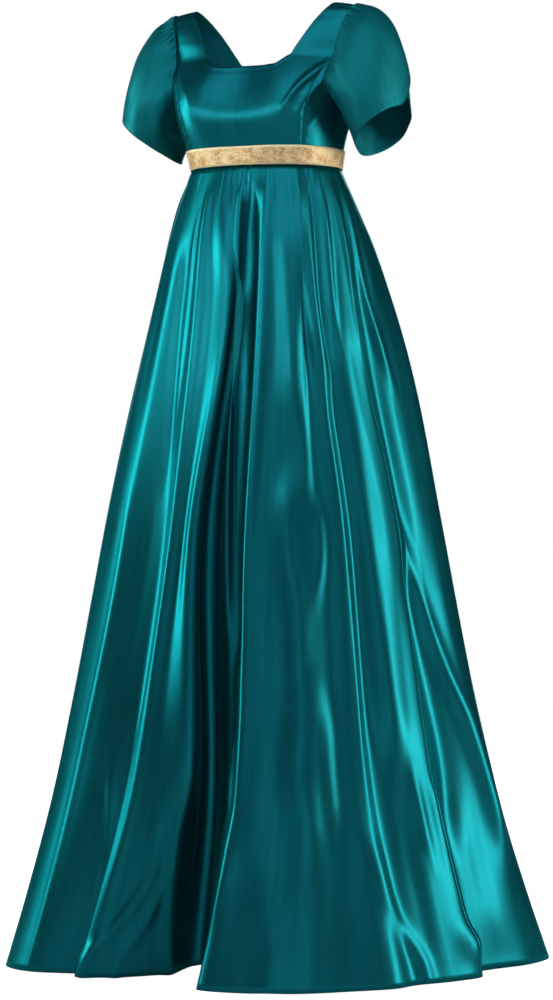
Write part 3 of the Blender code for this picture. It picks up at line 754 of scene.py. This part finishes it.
# %% Gathers and petals
HEADS = {
    # gathers of the sleeve head, for each sleeve: turn, length (m), depth (m)
    "left": [
        (-52, 0.016, 0.0020), (-38, 0.020, 0.0026), (-24, 0.018, 0.0024), (-10, 0.022, 0.0028),
        (4, 0.020, 0.0026), (16, 0.024, 0.0028), (27, 0.020, 0.0022), (40, 0.015, 0.0018),
        (54, 0.012, 0.0014),
    ],
    "right": [
        (-54, 0.015, 0.0020), (-40, 0.020, 0.0026), (-26, 0.018, 0.0024), (-12, 0.022, 0.0028),
        (2, 0.021, 0.0030), (13, 0.019, 0.0030), (22, 0.023, 0.0034), (30, 0.020, 0.0036),
        (38, 0.024, 0.0036), (46, 0.019, 0.0034), (54, 0.021, 0.0030), (63, 0.014, 0.0022),
        (73, 0.010, 0.0014),
    ],
}
SLEEVE_LONG = 0.19                  # metres down from the armhole, about
HEAD_STANDS, PETAL_STANDS = 0.0013, 0.00465     # how far the front petal stands off


def head_gathers(turn, away, heads):
    """Each gather is a fine pleat with a soft ridge beside it."""
    moved = 0 * away
    for at, length, deep in heads:
        lean = at + away * 60 * np.sign(at - 5)
        fade = np.exp(-(away / length)**2.4) * ease(0, 0.003, away)
        moved = moved - deep * bell((turn - lean) / (1.3 + away * 45)) * fade
        moved = moved + 0.6 * deep * bell((turn - lean - 4.0) / (2.0 + away * 50)) * fade
    return moved


def petal(sign, raised, cap, seed, heads):
    """One petal, from its tip round the arm to the underarm seam."""
    turns = np.linspace(-BEGIN, 180, 181)
    turn = turns[None, :]
    short = (np.maximum(FULL - turns, 0) / (FULL + BEGIN)) ** 1.9
    reach = np.where(turns < FULL, 0.13 + 0.87 * (1 - short), 1.0)[None, :]
    steps = np.linspace(0, 1, 71)[:, None]
    along = steps * reach
    away = along * SLEEVE_LONG
    grid = np.stack([puff(sign * turns, a, cap) for a in along])
    n = facing(grid) * sign
    # the front petal is sewn down at its head and stands off lower down
    sewn = min(raised, HEAD_STANDS)
    stands = np.clip((150 - turn) / 60, 0, 1) * (sewn + (raised - sewn) * ease(0.02, 0.30, along))
    soft = wander(seed + 2, turns / 19, 1.0)[None, :] * np.sin(np.pi * along) * ease(0.0, 0.3, along)
    # shallow crumples where the puff was folded
    crumples = np.sin(away * 75 + turn * 0.045 + seed) * np.sin(turn * 0.11 + seed)
    crumples = crumples * ease(0.1, 0.35, along)
    hemline = -0.0005 * bell(((1 - steps) * SLEEVE_LONG * reach - 0.010) / 0.0016)
    moved = stands + head_gathers(turn, away, heads) + 0.0012 * soft + 0.0006 * crumples + hemline
    grid = grid + n * moved[..., None]
    return grid if sign > 0 else grid[:, ::-1]


PETALS = {}
for side_name, cap in CAPS.items():
    other = 9 if side_name == "right" else 0
    for piece_name, sign, raised, seed in (("front_petal_", 1, PETAL_STANDS, 31),
                                           ("back_petal_", -1, 0.0, 51)):
        grid = petal(sign, raised, cap, seed + other, HEADS[side_name])
        if side_name == "right":
            grid = mirrored(grid)
        PETALS[piece_name + side_name] = grid
        sheet(piece_name + side_name, grid, slots=CROSSWAYS)

# %% [markdown]
# ## The skirt
#
# The skirt is where the satin shows.  One row of the table is one ridge or
# trough of cloth, and says which way it faces at five heights and how far out
# it stands.  A smooth line through the rows at each height gives the section,
# and where a later row faces further back than the one before it, the cloth
# folds over itself.  A second table adds the narrow creases.

# %% Ridges and troughs
WIDTH = [(-0.2513, 0.1170), (-0.2960, 0.1355), (-0.3500, 0.1540), (-0.4490, 0.1800),
         (-0.6030, 0.2170), (-0.7560, 0.2490), (-0.9090, 0.2780), (-1.0630, 0.3090),
         (-1.2160, 0.3430), (-1.3700, 0.3860), (-1.4640, 0.4150)]
LEVELS = (-0.2513, -0.4490, -0.8000, -1.2000, -1.4640)
# One row per ridge or trough, going round from the wearer's right side seam.
# The direction it faces (degrees, 0 = front, 90 = wearer's left) at the top,
# hip, knee, shin and hem, and how far out it stands at the last four as a
# percentage of WIDTH; at the top all lie on the bodice's ellipse.
SKIRT = [
    # top  hip  knee shin  hem | hip   knee  shin  hem
    (-90, -92, -93, -92, -93, 92.0, 94.0, 95.0, 93.0),     # right side seam
    (-81, -82, -82, -82, -84, 95.0, 97.5, 96.5, 96.5),
    (-73, -74, -73, -74, -75, 92.5, 93.0, 92.0, 92.5),
    (-65, -66, -60, -64, -66, 94.5, 96.5, 95.5, 95.5),
    (-58, -58, -50, -56, -57, 93.0, 95.0, 95.5, 95.5),
    (-50, -48, -39, -46, -49, 89.0, 92.0, 91.0, 89.0),
    (-42, -38, -29, -36, -42, 86.5, 83.0, 81.0, 76.0),     # dark side of the fold
    (-34, -27, -22, -30, -38, 84.5, 81.0, 76.0, 71.0),
    (-27, -18, -16, -26, -36, 86.5, 86.0, 81.0, 78.0),     # its edge
    (-21, -11, -12, -16, -28, 85.0, 84.5, 78.0, 67.0),
    (-15, -4, -8.5, -7, -21, 86.5, 84.5, 74.0, 51.0),      # bright edge of the deep trough
    (-8, 1, -6, -4, -16, 84.0, 74.0, 60.0, 45.0),
    (-2, 3.5, -1, -2, -10, 83.0, 72.0, 55.0, 44.5),
    (4, 6.5, 6, 3, -3, 85.0, 78.0, 60.0, 47.0),
    (9, 10, 10, 8, 2, 82.0, 78.0, 67.0, 57.0),
    (14, 15, 13, 12, 4, 80.0, 78.5, 74.0, 68.0),
    (22, 21, 17, 15, 5.5, 84.5, 83.0, 80.5, 75.0),         # front panel's edge
    (29, 28, 24, 22, 14, 84.0, 82.5, 81.0, 78.0),
    (36, 35, 32, 30, 24, 84.5, 82.0, 80.5, 79.5),
    (43, 41, 40, 38, 33, 86.0, 83.5, 82.0, 80.5),
    (49, 45, 47, 46, 45, 85.5, 83.0, 80.5, 80.0),
    (55, 50, 55, 55, 57, 89.0, 86.5, 83.5, 81.5),          # long bright ridge
    (62, 55, 60, 60, 65, 86.0, 82.5, 80.5, 79.5),
    (70, 62, 66, 66, 71, 88.0, 85.0, 83.0, 81.0),
    (77, 68, 74, 73, 77, 91.0, 89.5, 86.5, 83.5),          # broad bright ridge
    (84, 75, 82, 80, 86, 92.5, 90.5, 88.5, 86.5),          # left side seam
    (91, 83, 87, 87, 92, 91.0, 88.0, 85.0, 80.0),
    (98, 92, 93, 96, 100, 96.5, 94.0, 90.0, 84.5),
    (106, 101, 101, 105, 110, 100.5, 100.0, 100.0, 97.5),
    (114, 112, 111, 114, 119, 106.5, 104.5, 104.0, 105.5),
    (122, 122, 120, 123, 127, 103.0, 101.5, 100.5, 104.5),
    (131, 132, 131, 132, 135, 97.0, 95.0, 93.0, 93.0),
    (140, 141, 141, 142, 143, 101.0, 102.0, 102.5, 104.0),
    (149, 150, 151, 151, 152, 97.0, 95.0, 92.5, 91.0),
    (158, 160, 161, 161, 161, 101.5, 103.0, 103.5, 105.0),
    (168, 170, 171, 171, 171, 98.0, 97.0, 96.0, 97.0),
    (180, 180, 180, 180, 180, 100.0, 100.5, 100.5, 101.0),  # centre back seam
    (191, 190, 190, 189, 189, 97.0, 95.5, 94.0, 93.0),
    (201, 201, 200, 199, 200, 101.0, 102.5, 103.5, 104.0),
    (210, 211, 210, 209, 210, 97.0, 95.0, 92.0, 91.0),
    (220, 220, 220, 219, 220, 99.5, 101.0, 102.0, 103.0),
    (229, 229, 229, 229, 229, 95.5, 94.0, 92.0, 91.0),
    (239, 239, 239, 239, 239, 98.0, 99.5, 100.5, 101.0),
    (249, 248, 248, 248, 248, 94.0, 93.0, 92.5, 90.0),
    (260, 259, 258, 258, 258, 95.5, 98.0, 99.0, 99.0),
]
SIDE_LEFT, CENTRE_BACK = 25, 36
AROUND = len(SKIRT)
UNDERBUST_HALF = (0.117, 0.095)     # half the bodice's width and depth at its foot


def skirt_rows(z):
    """Where every row of the table is, at each height: (height, row, xy)."""
    table = np.array(SKIRT, float)
    a, b = UNDERBUST_HALF
    t = np.radians(table[:, 0])
    top = 100 * a * b / np.hypot(b * np.sin(t), a * np.cos(t)) / WIDTH[0][1]
    out = np.vstack([top, table[:, 5:9].T])
    values = curve([-v for v in LEVELS], np.stack([table[:, 0:5].T, out], 2), -z)
    wide = curve([-w[0] for w in WIDTH], [w[1] for w in WIDTH], -z)
    r = wide[:, None] * values[..., 1] / 100
    angle = np.radians(values[..., 0])
    return np.stack([r * np.sin(angle), -r * np.cos(angle)], 2)


def skirt_surface(us, z):
    """The section at each height, smooth through its rows and closed."""
    rows = skirt_rows(z)
    padded = np.concatenate([rows[:, -3:], rows, rows[:, :4]], 1)
    return curve(np.arange(-3, AROUND + 4), padded.transpose(1, 0, 2), us).transpose(1, 0, 2)


print(f"skirt: {AROUND} ridges and troughs")

# %% [markdown]
# A gathered satin skirt isn't pleated like a comb.  It hangs in smooth panels,
# and each panel ends in one soft ridge whose side catches a lamp.  A few
# pleats go deep and stay dark.  Noise can't make that, so each crease is listed
# one by one: where it runs, how wide it is and how far the cloth moves.  A
# crease's path is given as rows of the table at some depths below the ribbon.

# %% Creases one by one
CREASES = [
    # path as (depth, row) pairs, half width, height (m); below 0 is a pleat
    # the left-hand folds
    (((0.10, 5.2), (0.40, 5.3), (0.52, 5.1)), 0.014, 0.0022),
    (((0.50, 5.0), (0.90, 4.95), (1.20, 4.9)), 0.007, 0.0017),
    (((0.12, 6.4), (0.30, 6.5), (0.48, 6.7)), 0.014, -0.0060),
    (((0.08, 7.0), (0.25, 7.1), (0.42, 6.9)), 0.006, 0.0028),
    (((0.02, 7.9), (0.35, 8.3), (0.70, 8.3), (0.95, 8.4), (1.18, 8.3)), 0.010, 0.0034),
    (((0.90, 5.9), (1.00, 6.4), (1.12, 6.9)), 0.007, 0.0030),
    # the long bright ridge beside the deep pleats
    (((0.08, 10.8), (0.22, 10.8), (0.36, 10.4), (0.60, 10.2), (0.90, 10.1), (1.18, 10.1)), 0.011, 0.0050),
    (((0.12, 8.8), (0.30, 8.8), (0.60, 8.8), (0.85, 9.0)), 0.014, -0.0022),
    (((0.16, 12.2), (0.40, 11.9), (0.60, 11.8), (1.18, 11.7)), 0.017, -0.0130),
    # curved creases on the foot of the left fold
    (((0.98, 9.3), (1.06, 9.4), (1.12, 8.9), (1.18, 8.2)), 0.010, 0.0050),
    (((1.06, 9.8), (1.12, 9.5), (1.19, 8.9)), 0.009, 0.0045),
    # the two pleats in the middle, and the thin ridge between them
    (((0.02, 12.8), (0.30, 12.9), (0.50, 13.2), (0.66, 13.6), (0.80, 14.3), (0.95, 14.7)), 0.006, 0.0040),
    (((0.02, 14.6), (0.30, 14.3), (0.60, 14.5), (0.74, 14.9)), 0.013, -0.0110),
    (((0.03, 16.2), (0.40, 16.0), (0.70, 15.8), (0.95, 15.8)), 0.009, 0.0035),
    (((0.97, 15.7), (1.05, 16.0), (1.12, 15.8)), 0.013, 0.0050),
    # the front panel: soft, wide and uneven
    (((0.00, 16.5), (0.05, 16.6), (0.12, 16.8)), 0.014, 0.0050),
    (((0.07, 17.9), (0.20, 18.1), (0.40, 18.3)), 0.016, 0.0080),
    (((0.46, 18.2), (0.56, 18.0), (0.66, 18.4), (0.80, 18.4)), 0.019, 0.0085),
    (((0.50, 19.7), (0.60, 19.7), (0.66, 19.2)), 0.012, 0.0045),
    (((0.78, 18.7), (0.90, 18.3), (1.00, 18.7)), 0.026, 0.0100),
    (((0.80, 19.6), (0.92, 19.7), (1.00, 19.9)), 0.014, 0.0040),
    (((1.06, 17.6), (1.16, 18.0)), 0.020, 0.0040),
    # the right-hand ridges
    (((0.00, 19.8), (0.10, 19.9), (0.20, 20.5), (0.32, 21.1)), 0.014, 0.0078),
    (((0.02, 21.5), (0.18, 21.9), (0.34, 22.4)), 0.009, -0.0045),
    (((0.34, 21.2), (0.60, 21.0), (0.95, 21.0), (1.06, 21.1)), 0.014, -0.0028),
    (((1.00, 21.2), (1.10, 21.6), (1.18, 22.7)), 0.014, 0.0045),
    (((0.34, 22.3), (0.60, 22.2), (0.90, 22.2)), 0.018, -0.0035),
    (((0.03, 22.5), (0.12, 22.7), (0.28, 23.2)), 0.008, 0.0045),
    (((0.26, 22.8), (0.50, 22.9), (0.72, 23.3), (0.88, 23.5)), 0.024, 0.0090),
    (((0.02, 23.9), (0.20, 25.0), (0.32, 25.0)), 0.005, 0.0026),
    (((0.90, 24.0), (1.04, 24.2)), 0.010, 0.0040),
    (((0.04, 25.6), (0.20, 26.4), (0.34, 27.2)), 0.009, 0.0040),
    (((0.54, 25.8), (0.64, 26.5), (0.76, 27.3), (0.95, 28.0), (1.05, 28.1)), 0.014, 0.0060),
    (((0.78, 27.9), (0.92, 28.1), (1.04, 28.2)), 0.028, 0.0075),
    (((0.92, 25.2), (1.06, 25.3), (1.19, 25.4)), 0.016, 0.0055),
    (((0.60, 25.8), (0.78, 26.4), (0.92, 26.6), (1.04, 26.2)), 0.022, -0.0085),
    # hidden sides: the same kind of ridge and pleat
    (((0.00, 1.3), (0.60, 1.2), (1.15, 1.3)), 0.012, 0.0045),
    (((0.05, 29.6), (0.60, 29.8), (1.10, 29.6)), 0.010, 0.0040),
    (((0.00, 31.1), (0.50, 31.0), (0.90, 31.2)), 0.012, -0.0060),
    (((0.04, 32.3), (0.70, 32.1), (1.15, 32.4)), 0.011, 0.0050),
    (((0.00, 33.8), (0.35, 33.6), (0.80, 33.9)), 0.010, -0.0055),
    (((0.20, 34.9), (0.90, 35.0), (1.18, 34.7)), 0.014, 0.0055),
    (((0.00, 37.4), (0.50, 37.2), (1.00, 37.3)), 0.011, -0.0060),
    (((0.10, 38.6), (0.70, 38.8), (1.16, 38.5)), 0.013, 0.0055),
    (((0.00, 40.3), (0.45, 40.1), (0.85, 40.4)), 0.010, 0.0045),
    (((0.15, 41.6), (0.80, 41.4), (1.10, 41.7)), 0.012, -0.0055),
    (((0.00, 43.2), (0.60, 43.1), (1.12, 43.4)), 0.012, 0.0050),
]
LEANS = [
    # a fold that leans over the trough beside it: path, half width, shift (m)
    (((0.14, 10.6), (0.34, 10.3), (0.60, 10.3), (0.78, 10.3), (0.98, 10.2)), 0.024, 0.0120),
]
MARKS = [
    # small level creases where the cloth was folded: rows, depth, height (m)
    (18.2, 19.9, 0.952, 0.0011), (18.3, 19.7, 0.968, -0.0009), (18.5, 20.0, 0.981, 0.0007),
    (23.8, 24.6, 1.010, 0.0009), (23.9, 24.5, 1.030, -0.0008), (27.2, 28.2, 0.640, 0.0007),
    (32.5, 33.8, 0.930, 0.0009), (39.0, 40.3, 0.960, 0.0009),
]
DOMES = [
    # where the hem is pushed up by the floor: row, depth, radius, height (m)
    (25.1, 1.165, 0.026, 0.0110), (8.3, 1.190, 0.020, 0.0040), (27.3, 1.130, 0.045, 0.0050),
]
print(f"{len(CREASES)} creases, {len(LEANS)} lean, {len(MARKS)} marks, {len(DOMES)} domes")

# %% [markdown]
# The whole skirt is worked out as one ring of cloth, and cut at the seams
# only afterwards, so that a fold passes a seam without a step.  In front the
# hem rises a little.

# %% The ring of cloth
TOP, FOOT = -0.2513, -1.464
PER_ROW, SKIRT_STEPS = 14, 120
LIFT, LIFT_AT, LIFT_WIDE = 0.016, 12.3, 1.7     # metres, and rows of the table
us = np.arange(-PER_ROW, (AROUND + 1) * PER_ROW + 1) / PER_ROW
down = np.linspace(0, 1, SKIRT_STEPS + 1)
z_flat = TOP + (FOOT - TOP) * down
z = z_flat[:, None] + LIFT * bell((us - LIFT_AT) / LIFT_WIDE)[None, :] * down[:, None]
# the section is read at the cloth's own height, which the lift changes
levels = np.linspace(FOOT, TOP, 361)
at_levels = skirt_surface(us, levels)
xy = [np.stack([np.interp(z[:, c], levels, at_levels[:, c, k]) for c in range(len(us))], 1)
      for k in (0, 1)]
ring = np.stack([*xy, z], 2)
depth = TOP - z_flat
across = run_across(ring)
print(f"ring: {ring.shape[0]} x {ring.shape[1]} points")


def off_row(row):
    """Metres of cloth from one row of the table, all the way down."""
    return across - np.array([np.interp(row, us, a) for a in across])[:, None]


def distance_from(path):
    """Metres of cloth from a path of (depth, row) pairs, and how far it runs."""
    d, r = [q[0] for q in path], [q[1] for q in path]
    row_at = curve(d, r, np.clip(depth, d[0], d[-1])) if len(d) > 2 else np.interp(depth, d, r)
    centre = np.array([np.interp(row_at[i], us, across[i]) for i in range(len(depth))])
    # a path from the waist or to the hem doesn't fade there
    starts = 1.0 if d[0] <= 0 else ease(d[0] - 0.03, d[0] + 0.06, depth)
    stops = 1.0 if d[-1] >= 1.15 else 1 - ease(d[-1] - 0.08, d[-1] + 0.04, depth)
    return across - centre[:, None], np.broadcast_to(starts * stops, depth.shape)[:, None]


# %% [markdown]
# Each crease moves the cloth in or out along its path.  It is narrow and
# shallow at the waist, where the cloth is held, and full lower down.  A fold
# that leans moves sideways as well, over the trough beside it.

# %% Laying the creases
move = np.zeros(across.shape)
for path, half_wide, high in CREASES:
    off, ends = distance_from(path)
    wide = half_wide * (0.55 + 0.45 * ease(0.0, 0.16, depth))[:, None]
    held = (0.26 + 0.74 * ease(-0.005, 0.060, depth))[:, None]
    move += high * held * ends * bell(off / wide)
for path, half_wide, shift in LEANS:
    off, ends = distance_from(path)
    sideways = np.stack([-ring[..., 1], ring[..., 0], 0 * ring[..., 0]], 2)
    sideways /= np.linalg.norm(sideways, axis=2, keepdims=True)
    ring = ring + sideways * (shift * ends * bell(off / half_wide))[..., None]
for start, end, at, high in MARKS:
    level = ease(start - 0.25, start + 0.25, us) * (1 - ease(end - 0.25, end + 0.25, us))
    bend = 0.004 * np.sin((us - start) * 2.1)
    move += high * level[None, :] * bell((depth[:, None] - at - bend[None, :]) / 0.0042)
for row, at, radius, high in DOMES:
    move += high * np.exp(-(off_row(row)**2 + (depth[:, None] - at)**2) / radius**2)
print(f"creases move the cloth {move.min() * 1000:.1f} to {move.max() * 1000:.1f} mm")

# %% [markdown]
# Short gathers crowd under the ribbon and are gone within a finger's width.
# Below them the cloth is never quite smooth.  The seams pull in, and the hem
# is turned up and pressed.

# %% Gathers, seams and hem
HEM_TURN = 0.022
GATHER_HIGH, GATHER_LONG = 0.0034, 0.036
SWAY = ((0.0005, 2.3, 7.0, 0.4), (0.0003, 3.9, -11.0, 1.7), (0.00015, 6.1, 16.0, 3.1))
short = 0.95 * wander(61, us * 1.25, 1.0) + 0.40 * wander(62, us * 3.1, 1.0)
crowd = 0.35 + 0.65 * ease(-0.2, 0.7, wander(63, us * 0.55, 1.0))
fade = np.exp(-(depth / GATHER_LONG)**1.3) * ease(-0.002, 0.005, depth)
move += (GATHER_HIGH * short * crowd)[None, :] * fade[:, None]
slow = sum(a * np.sin(us[None, :] * f + depth[:, None] * g + h) for a, f, g, h in SWAY)
move += slow * ease(0.05, 0.3, depth)[:, None]
for seam in (0, SIDE_LEFT, CENTRE_BACK, AROUND):
    pull = 0.0007 * (1 + 0.6 * wander(90 + seam, depth / 0.035, 1.0))[:, None]
    move -= pull * bell(off_row(seam) / 0.0045)
move -= 0.0005 * bell((depth[-1] - depth - HEM_TURN) / 0.0024)[:, None]
move[0] = 0                         # the top edge is sewn down
ring = ring - facing(ring) * move[..., None]
ring[..., 2] = np.clip(ring[..., 2], FOOT, TOP)
print(f"skirt: {len(CREASES)} creases, the cloth moves {move.min() * 1000:.1f} to {move.max() * 1000:.1f} mm")

# %% [markdown]
# The skirt hangs from the bodice, so its top edge follows the bodice's lower
# edge.  If the two were drawn apart, light would show between them.

# %% The waist seam


def turn_and_reach(points):
    """Which way each point faces, either side counted alike, and how far out."""
    return np.arctan2(np.abs(points[:, 0]), -points[:, 1]), np.hypot(points[:, 0], points[:, 1])


sewn_turn, sewn_out = turn_and_reach(np.concatenate([left_half[0], back_half[0][::-1]]))
order = np.argsort(sewn_turn)
top_turn, top_out = turn_and_reach(ring[0])
meets = np.interp(top_turn, sewn_turn[order], sewn_out[order]) / top_out
ring[..., :2] *= (1 + (meets[None, :] - 1) * (1 - ease(0.0, 0.030, depth))[:, None])[..., None]
print(f"waist seam: the skirt's edge moved {np.abs(meets - 1).max() * 100:.1f} % to meet the bodice")

# %% [markdown]
# The two side seams and the centre back seam are straight cuts down the ring.
# Each edge is drawn back a little, as a sewn edge is.

# %% Cutting the ring at its seams
SKIRT_PANELS = (("front_skirt", 0, SIDE_LEFT), ("left_back_skirt", SIDE_LEFT, CENTRE_BACK),
                ("right_back_skirt", CENTRE_BACK, AROUND))
for piece_name, start, end in SKIRT_PANELS:
    part = ring[::-1, (start + 1) * PER_ROW:(end + 1) * PER_ROW + 1].copy()
    for edge, inner in ((0, 1), (-1, -2)):
        step = part[:, inner] - part[:, edge]
        part[:, edge] += step / np.linalg.norm(step, axis=1, keepdims=True) * EDGE_IN
    sheet(piece_name, part, slots=ALONG)
# how full the skirt is: the cloth round the hem against its smooth outline
hem_loop = ring[-1, PER_ROW:(AROUND + 1) * PER_ROW + 1, :2]
looks = np.linspace(0, 2 * np.pi, 721)[:-1]
outline = 2 * np.pi * (hem_loop @ np.stack([np.cos(looks), np.sin(looks)])).max(0).mean()
cloth = np.linalg.norm(np.diff(hem_loop, axis=0), axis=1).sum()
print(f"hem: {cloth:.2f} m of cloth round an outline of {outline:.2f} m, {cloth / outline:.2f} times as full")

# %% [markdown]
# ## Stitches
#
# Every edge of a gown is held by a row of stitches, hundreds in all, and a
# row follows its edge.  That is a job for Geometry Nodes: a curve is laid
# along the sewing line, evened out to one point for each stitch, and a short
# thread is set on every point, turned along the line.  The same small tree
# does the hem, the ribbon, the neck and the sleeves.

# %% The stitch tree
ROUND_SIDES, ROUND_STEPS = 5, 3
STITCH_FACES = ROUND_SIDES * ROUND_STEPS + 2    # its sides and its two ends
stitching = bpy.data.node_groups.new("stitches along a line", "GeometryNodeTree")
sockets(stitching, "INPUT", (("Geometry", "Geometry"), ("Spacing", "Float", 0.0032),
                             ("Stitch length", "Float", 0.0022), ("Thread", "Float", 0.00022),
                             ("Material", "Material")))
sockets(stitching, "OUTPUT", (("Geometry", "Geometry"),))
given = node(stitching, "NodeGroupInput").outputs
evened = node(stitching, "GeometryNodeResampleCurve", mode="LENGTH",
              wires={"Curve": given["Geometry"], "Length": given["Spacing"]})
thread = node(stitching, "GeometryNodeMeshCylinder",
              {"Radius": given["Thread"], "Depth": given["Stitch length"]},
              **{"Vertices": ROUND_SIDES, "Side Segments": ROUND_STEPS})
tangent = node(stitching, "GeometryNodeInputTangent")
turned = node(stitching, "FunctionNodeAlignRotationToVector", {"Vector": tangent.outputs[0]}, axis="Z")
placed = node(stitching, "GeometryNodeInstanceOnPoints",
              {"Points": evened.outputs[0], "Instance": thread.outputs["Mesh"],
               "Rotation": turned.outputs[0]})
real = node(stitching, "GeometryNodeRealizeInstances", {0: placed.outputs[0]})
painted = node(stitching, "GeometryNodeSetMaterial",
               {"Geometry": real.outputs[0], "Material": given["Material"]})
node(stitching, "NodeGroupOutput", {0: painted.outputs[0]})
print(f"stitch tree: {len(stitching.nodes)} nodes, {STITCH_FACES} faces to a stitch")

# %% [markdown]
# Sewing thread is two strands twisted together, so it is never one flat
# colour.  Both threads use the same twist, each with its own two colours.

# %% Thread
twist = bpy.data.node_groups.new("twisted thread", "ShaderNodeTree")
sockets(twist, "INPUT", (("Dark", "Color"), ("Light", "Color")))
sockets(twist, "OUTPUT", (("Colour", "Color"),))
given = node(twist, "NodeGroupInput").outputs
where = node(twist, "ShaderNodeTexCoord")
ply = node(twist, "ShaderNodeTexNoise", {"Vector": where.outputs["Object"]}, Scale=2400.0, Detail=1.0)
shade = node(twist, "ShaderNodeMix", data_type="RGBA",
             wires={MIX_BY: ply.outputs[0], MIX_FROM: given["Dark"], MIX_TO: given["Light"]})
node(twist, "NodeGroupOutput", {"Colour": shade.outputs[MIXED]})


def sewing_thread(name, dark, light):
    mat = bpy.data.materials.new(name)
    mat.use_nodes = True
    tree = mat.node_tree
    strands = node(tree, "ShaderNodeGroup", node_tree=twist, Dark=(*dark, 1), Light=(*light, 1))
    tree.links.new(strands.outputs["Colour"], tree.nodes["Principled BSDF"].inputs["Base Color"])
    set_all(tree.nodes["Principled BSDF"], {"Roughness": 0.55})
    return mat


teal_thread = sewing_thread("teal_thread", (0.001, 0.055, 0.070), (0.004, 0.120, 0.140))
gold_thread = sewing_thread("gold_thread", (0.42, 0.28, 0.12), (0.70, 0.55, 0.30))
print("threads:", teal_thread.name, gold_thread.name)

# %% [markdown]
# Each set of stitches is one mesh.  Its lines are read off the cloth they
# hold, so they follow every fold, and lie just proud of its face.

# %% Rows of stitches
STITCHES = {}
FACE, RIBBON_FACE = 0.00065, 0.00075            # from the cloth's middle to its face


def stitches(name, lines, spacing, length, thick, material):
    """One mesh of stitches along some lines; a line is its points, and if it is closed."""
    curve_data = bpy.data.curves.new(name, "CURVE")
    curve_data.dimensions = "3D"
    for points, loop in lines:
        spline = curve_data.splines.new("POLY")
        spline.points.add(len(points) - 1)
        with_weight = np.concatenate([points, np.ones((len(points), 1))], 1)
        spline.points.foreach_set("co", with_weight.astype(np.float32).ravel())
        spline.use_cyclic_u = loop
    holder = bpy.data.objects.new(name + "_line", curve_data)
    bpy.context.scene.collection.objects.link(holder)
    mod = holder.modifiers.new("stitches", "NODES")
    mod.node_group = stitching
    ids = {i.name: i.identifier for i in stitching.interface.items_tree if i.in_out == "INPUT"}
    mod[ids["Spacing"]], mod[ids["Stitch length"]], mod[ids["Thread"]] = spacing, length, thick
    mod[ids["Material"]] = material
    mesh = bpy.data.meshes.new_from_object(holder.evaluated_get(bpy.context.evaluated_depsgraph_get()))
    holder.modifiers.remove(mod)
    bpy.data.objects.remove(holder)
    mesh.name = name
    mesh.shade_smooth()
    STITCHES[name] = bpy.data.objects.new(name, mesh)
    bpy.context.scene.collection.objects.link(STITCHES[name])
    print(f"{name}: {len(mesh.polygons) // STITCH_FACES} stitches, {len(mesh.polygons)} faces")


def part_row(grid, row, out, push):
    """A line across a grid at a part row, moved off the cloth's face."""
    k, f = int(row), row - int(row)
    return grid[k] * (1 - f) + grid[k + 1] * f + (out[k] * (1 - f) + out[k + 1] * f) * push


# %% [markdown]
# The hem, the neck and the two princess seams come first.  A hand hem shows
# only a small prick of thread now and then, so its stitches are the shortest
# and the widest apart.

# %% Stitches of the skirt and bodice
hem_row = SKIRT_STEPS - HEM_TURN / ((TOP - FOOT) / SKIRT_STEPS)
once = slice(PER_ROW, (AROUND + 1) * PER_ROW)
hem_line = part_row(ring[:, once], hem_row, -facing(ring)[:, once], FACE)
stitches("hem_stitches", [(hem_line, True)], 0.0042, 0.0016, 0.00020, teal_thread)
front_out = facing(front)
neck_line = part_row(front, BODICE_ROWS - NECK_TURN, front_out, FACE)[np.abs(us_front) <= NECK]
low_rows = slice(0, BODICE_ROWS - 1)
princess = [(front[low_rows, c] + front_out[low_rows, c] * FACE, False) for c in (front.shape[1] - 4, 3)]
stitches("bodice_stitches", [(neck_line, False)] + princess, 0.0034, 0.0020, 0.00020, teal_thread)

# %% [markdown]
# Each petal has one row near its edge, and the ribbon is sewn down along both
# of its woven edges, in gold so that the thread doesn't show.

# %% Stitches of the sleeves and ribbon
PETAL_HEM, PETAL_ENDS = 4.0, slice(4, -4)       # rows up from the edge, columns kept
sleeve_lines = [(part_row(grid, len(grid) - 1 - PETAL_HEM, facing(grid), FACE)[PETAL_ENDS], False)
                for grid in PETALS.values()]
stitches("sleeve_stitches", sleeve_lines, 0.0036, 0.0020, 0.00020, teal_thread)
ribbon_lines = [(part_row(ribbon_grid, row, level_out(ribbon_grid), RIBBON_FACE), True)
                for row in (0.62, 7.38)]
stitches("ribbon_stitches", ribbon_lines, 0.0030, 0.0019, 0.00018, gold_thread)

# %% [markdown]
# ## Each sheet in place of its solid
#
# Each sheet stands for one solid, which is hidden, and moves with it.  The
# skirt and the sleeves are gathered; the bodice and the ribbon are stretched
# over the body.

# %% Pieces in place of their solids
STANDS_FOR = {
    "front_bodice": "bodice_front", "left_side_front": "bodice_side_left", "right_side_front": "bodice_side_right",
    "left_back": "bodice_back_left", "right_back": "bodice_back_right", "gold_ribbon": "ribbon",
    "front_petal_left": "sleeve_front_left", "front_petal_right": "sleeve_front_right",
    "back_petal_left": "sleeve_back_left", "back_petal_right": "sleeve_back_right",
    "front_skirt": "skirt_front", "left_back_skirt": "skirt_back_left", "right_back_skirt": "skirt_back_right",
}
for name, node_name in STANDS_FOR.items():
    piece = PIECES[name]
    wide, long, area = SIZES[name]
    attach(piece, "root")
    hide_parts(node_name)
for name, piece in STITCHES.items():
    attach(piece, "root")
print(f"{len(STANDS_FOR)} sheets and {len(STITCHES)} sets of stitches")
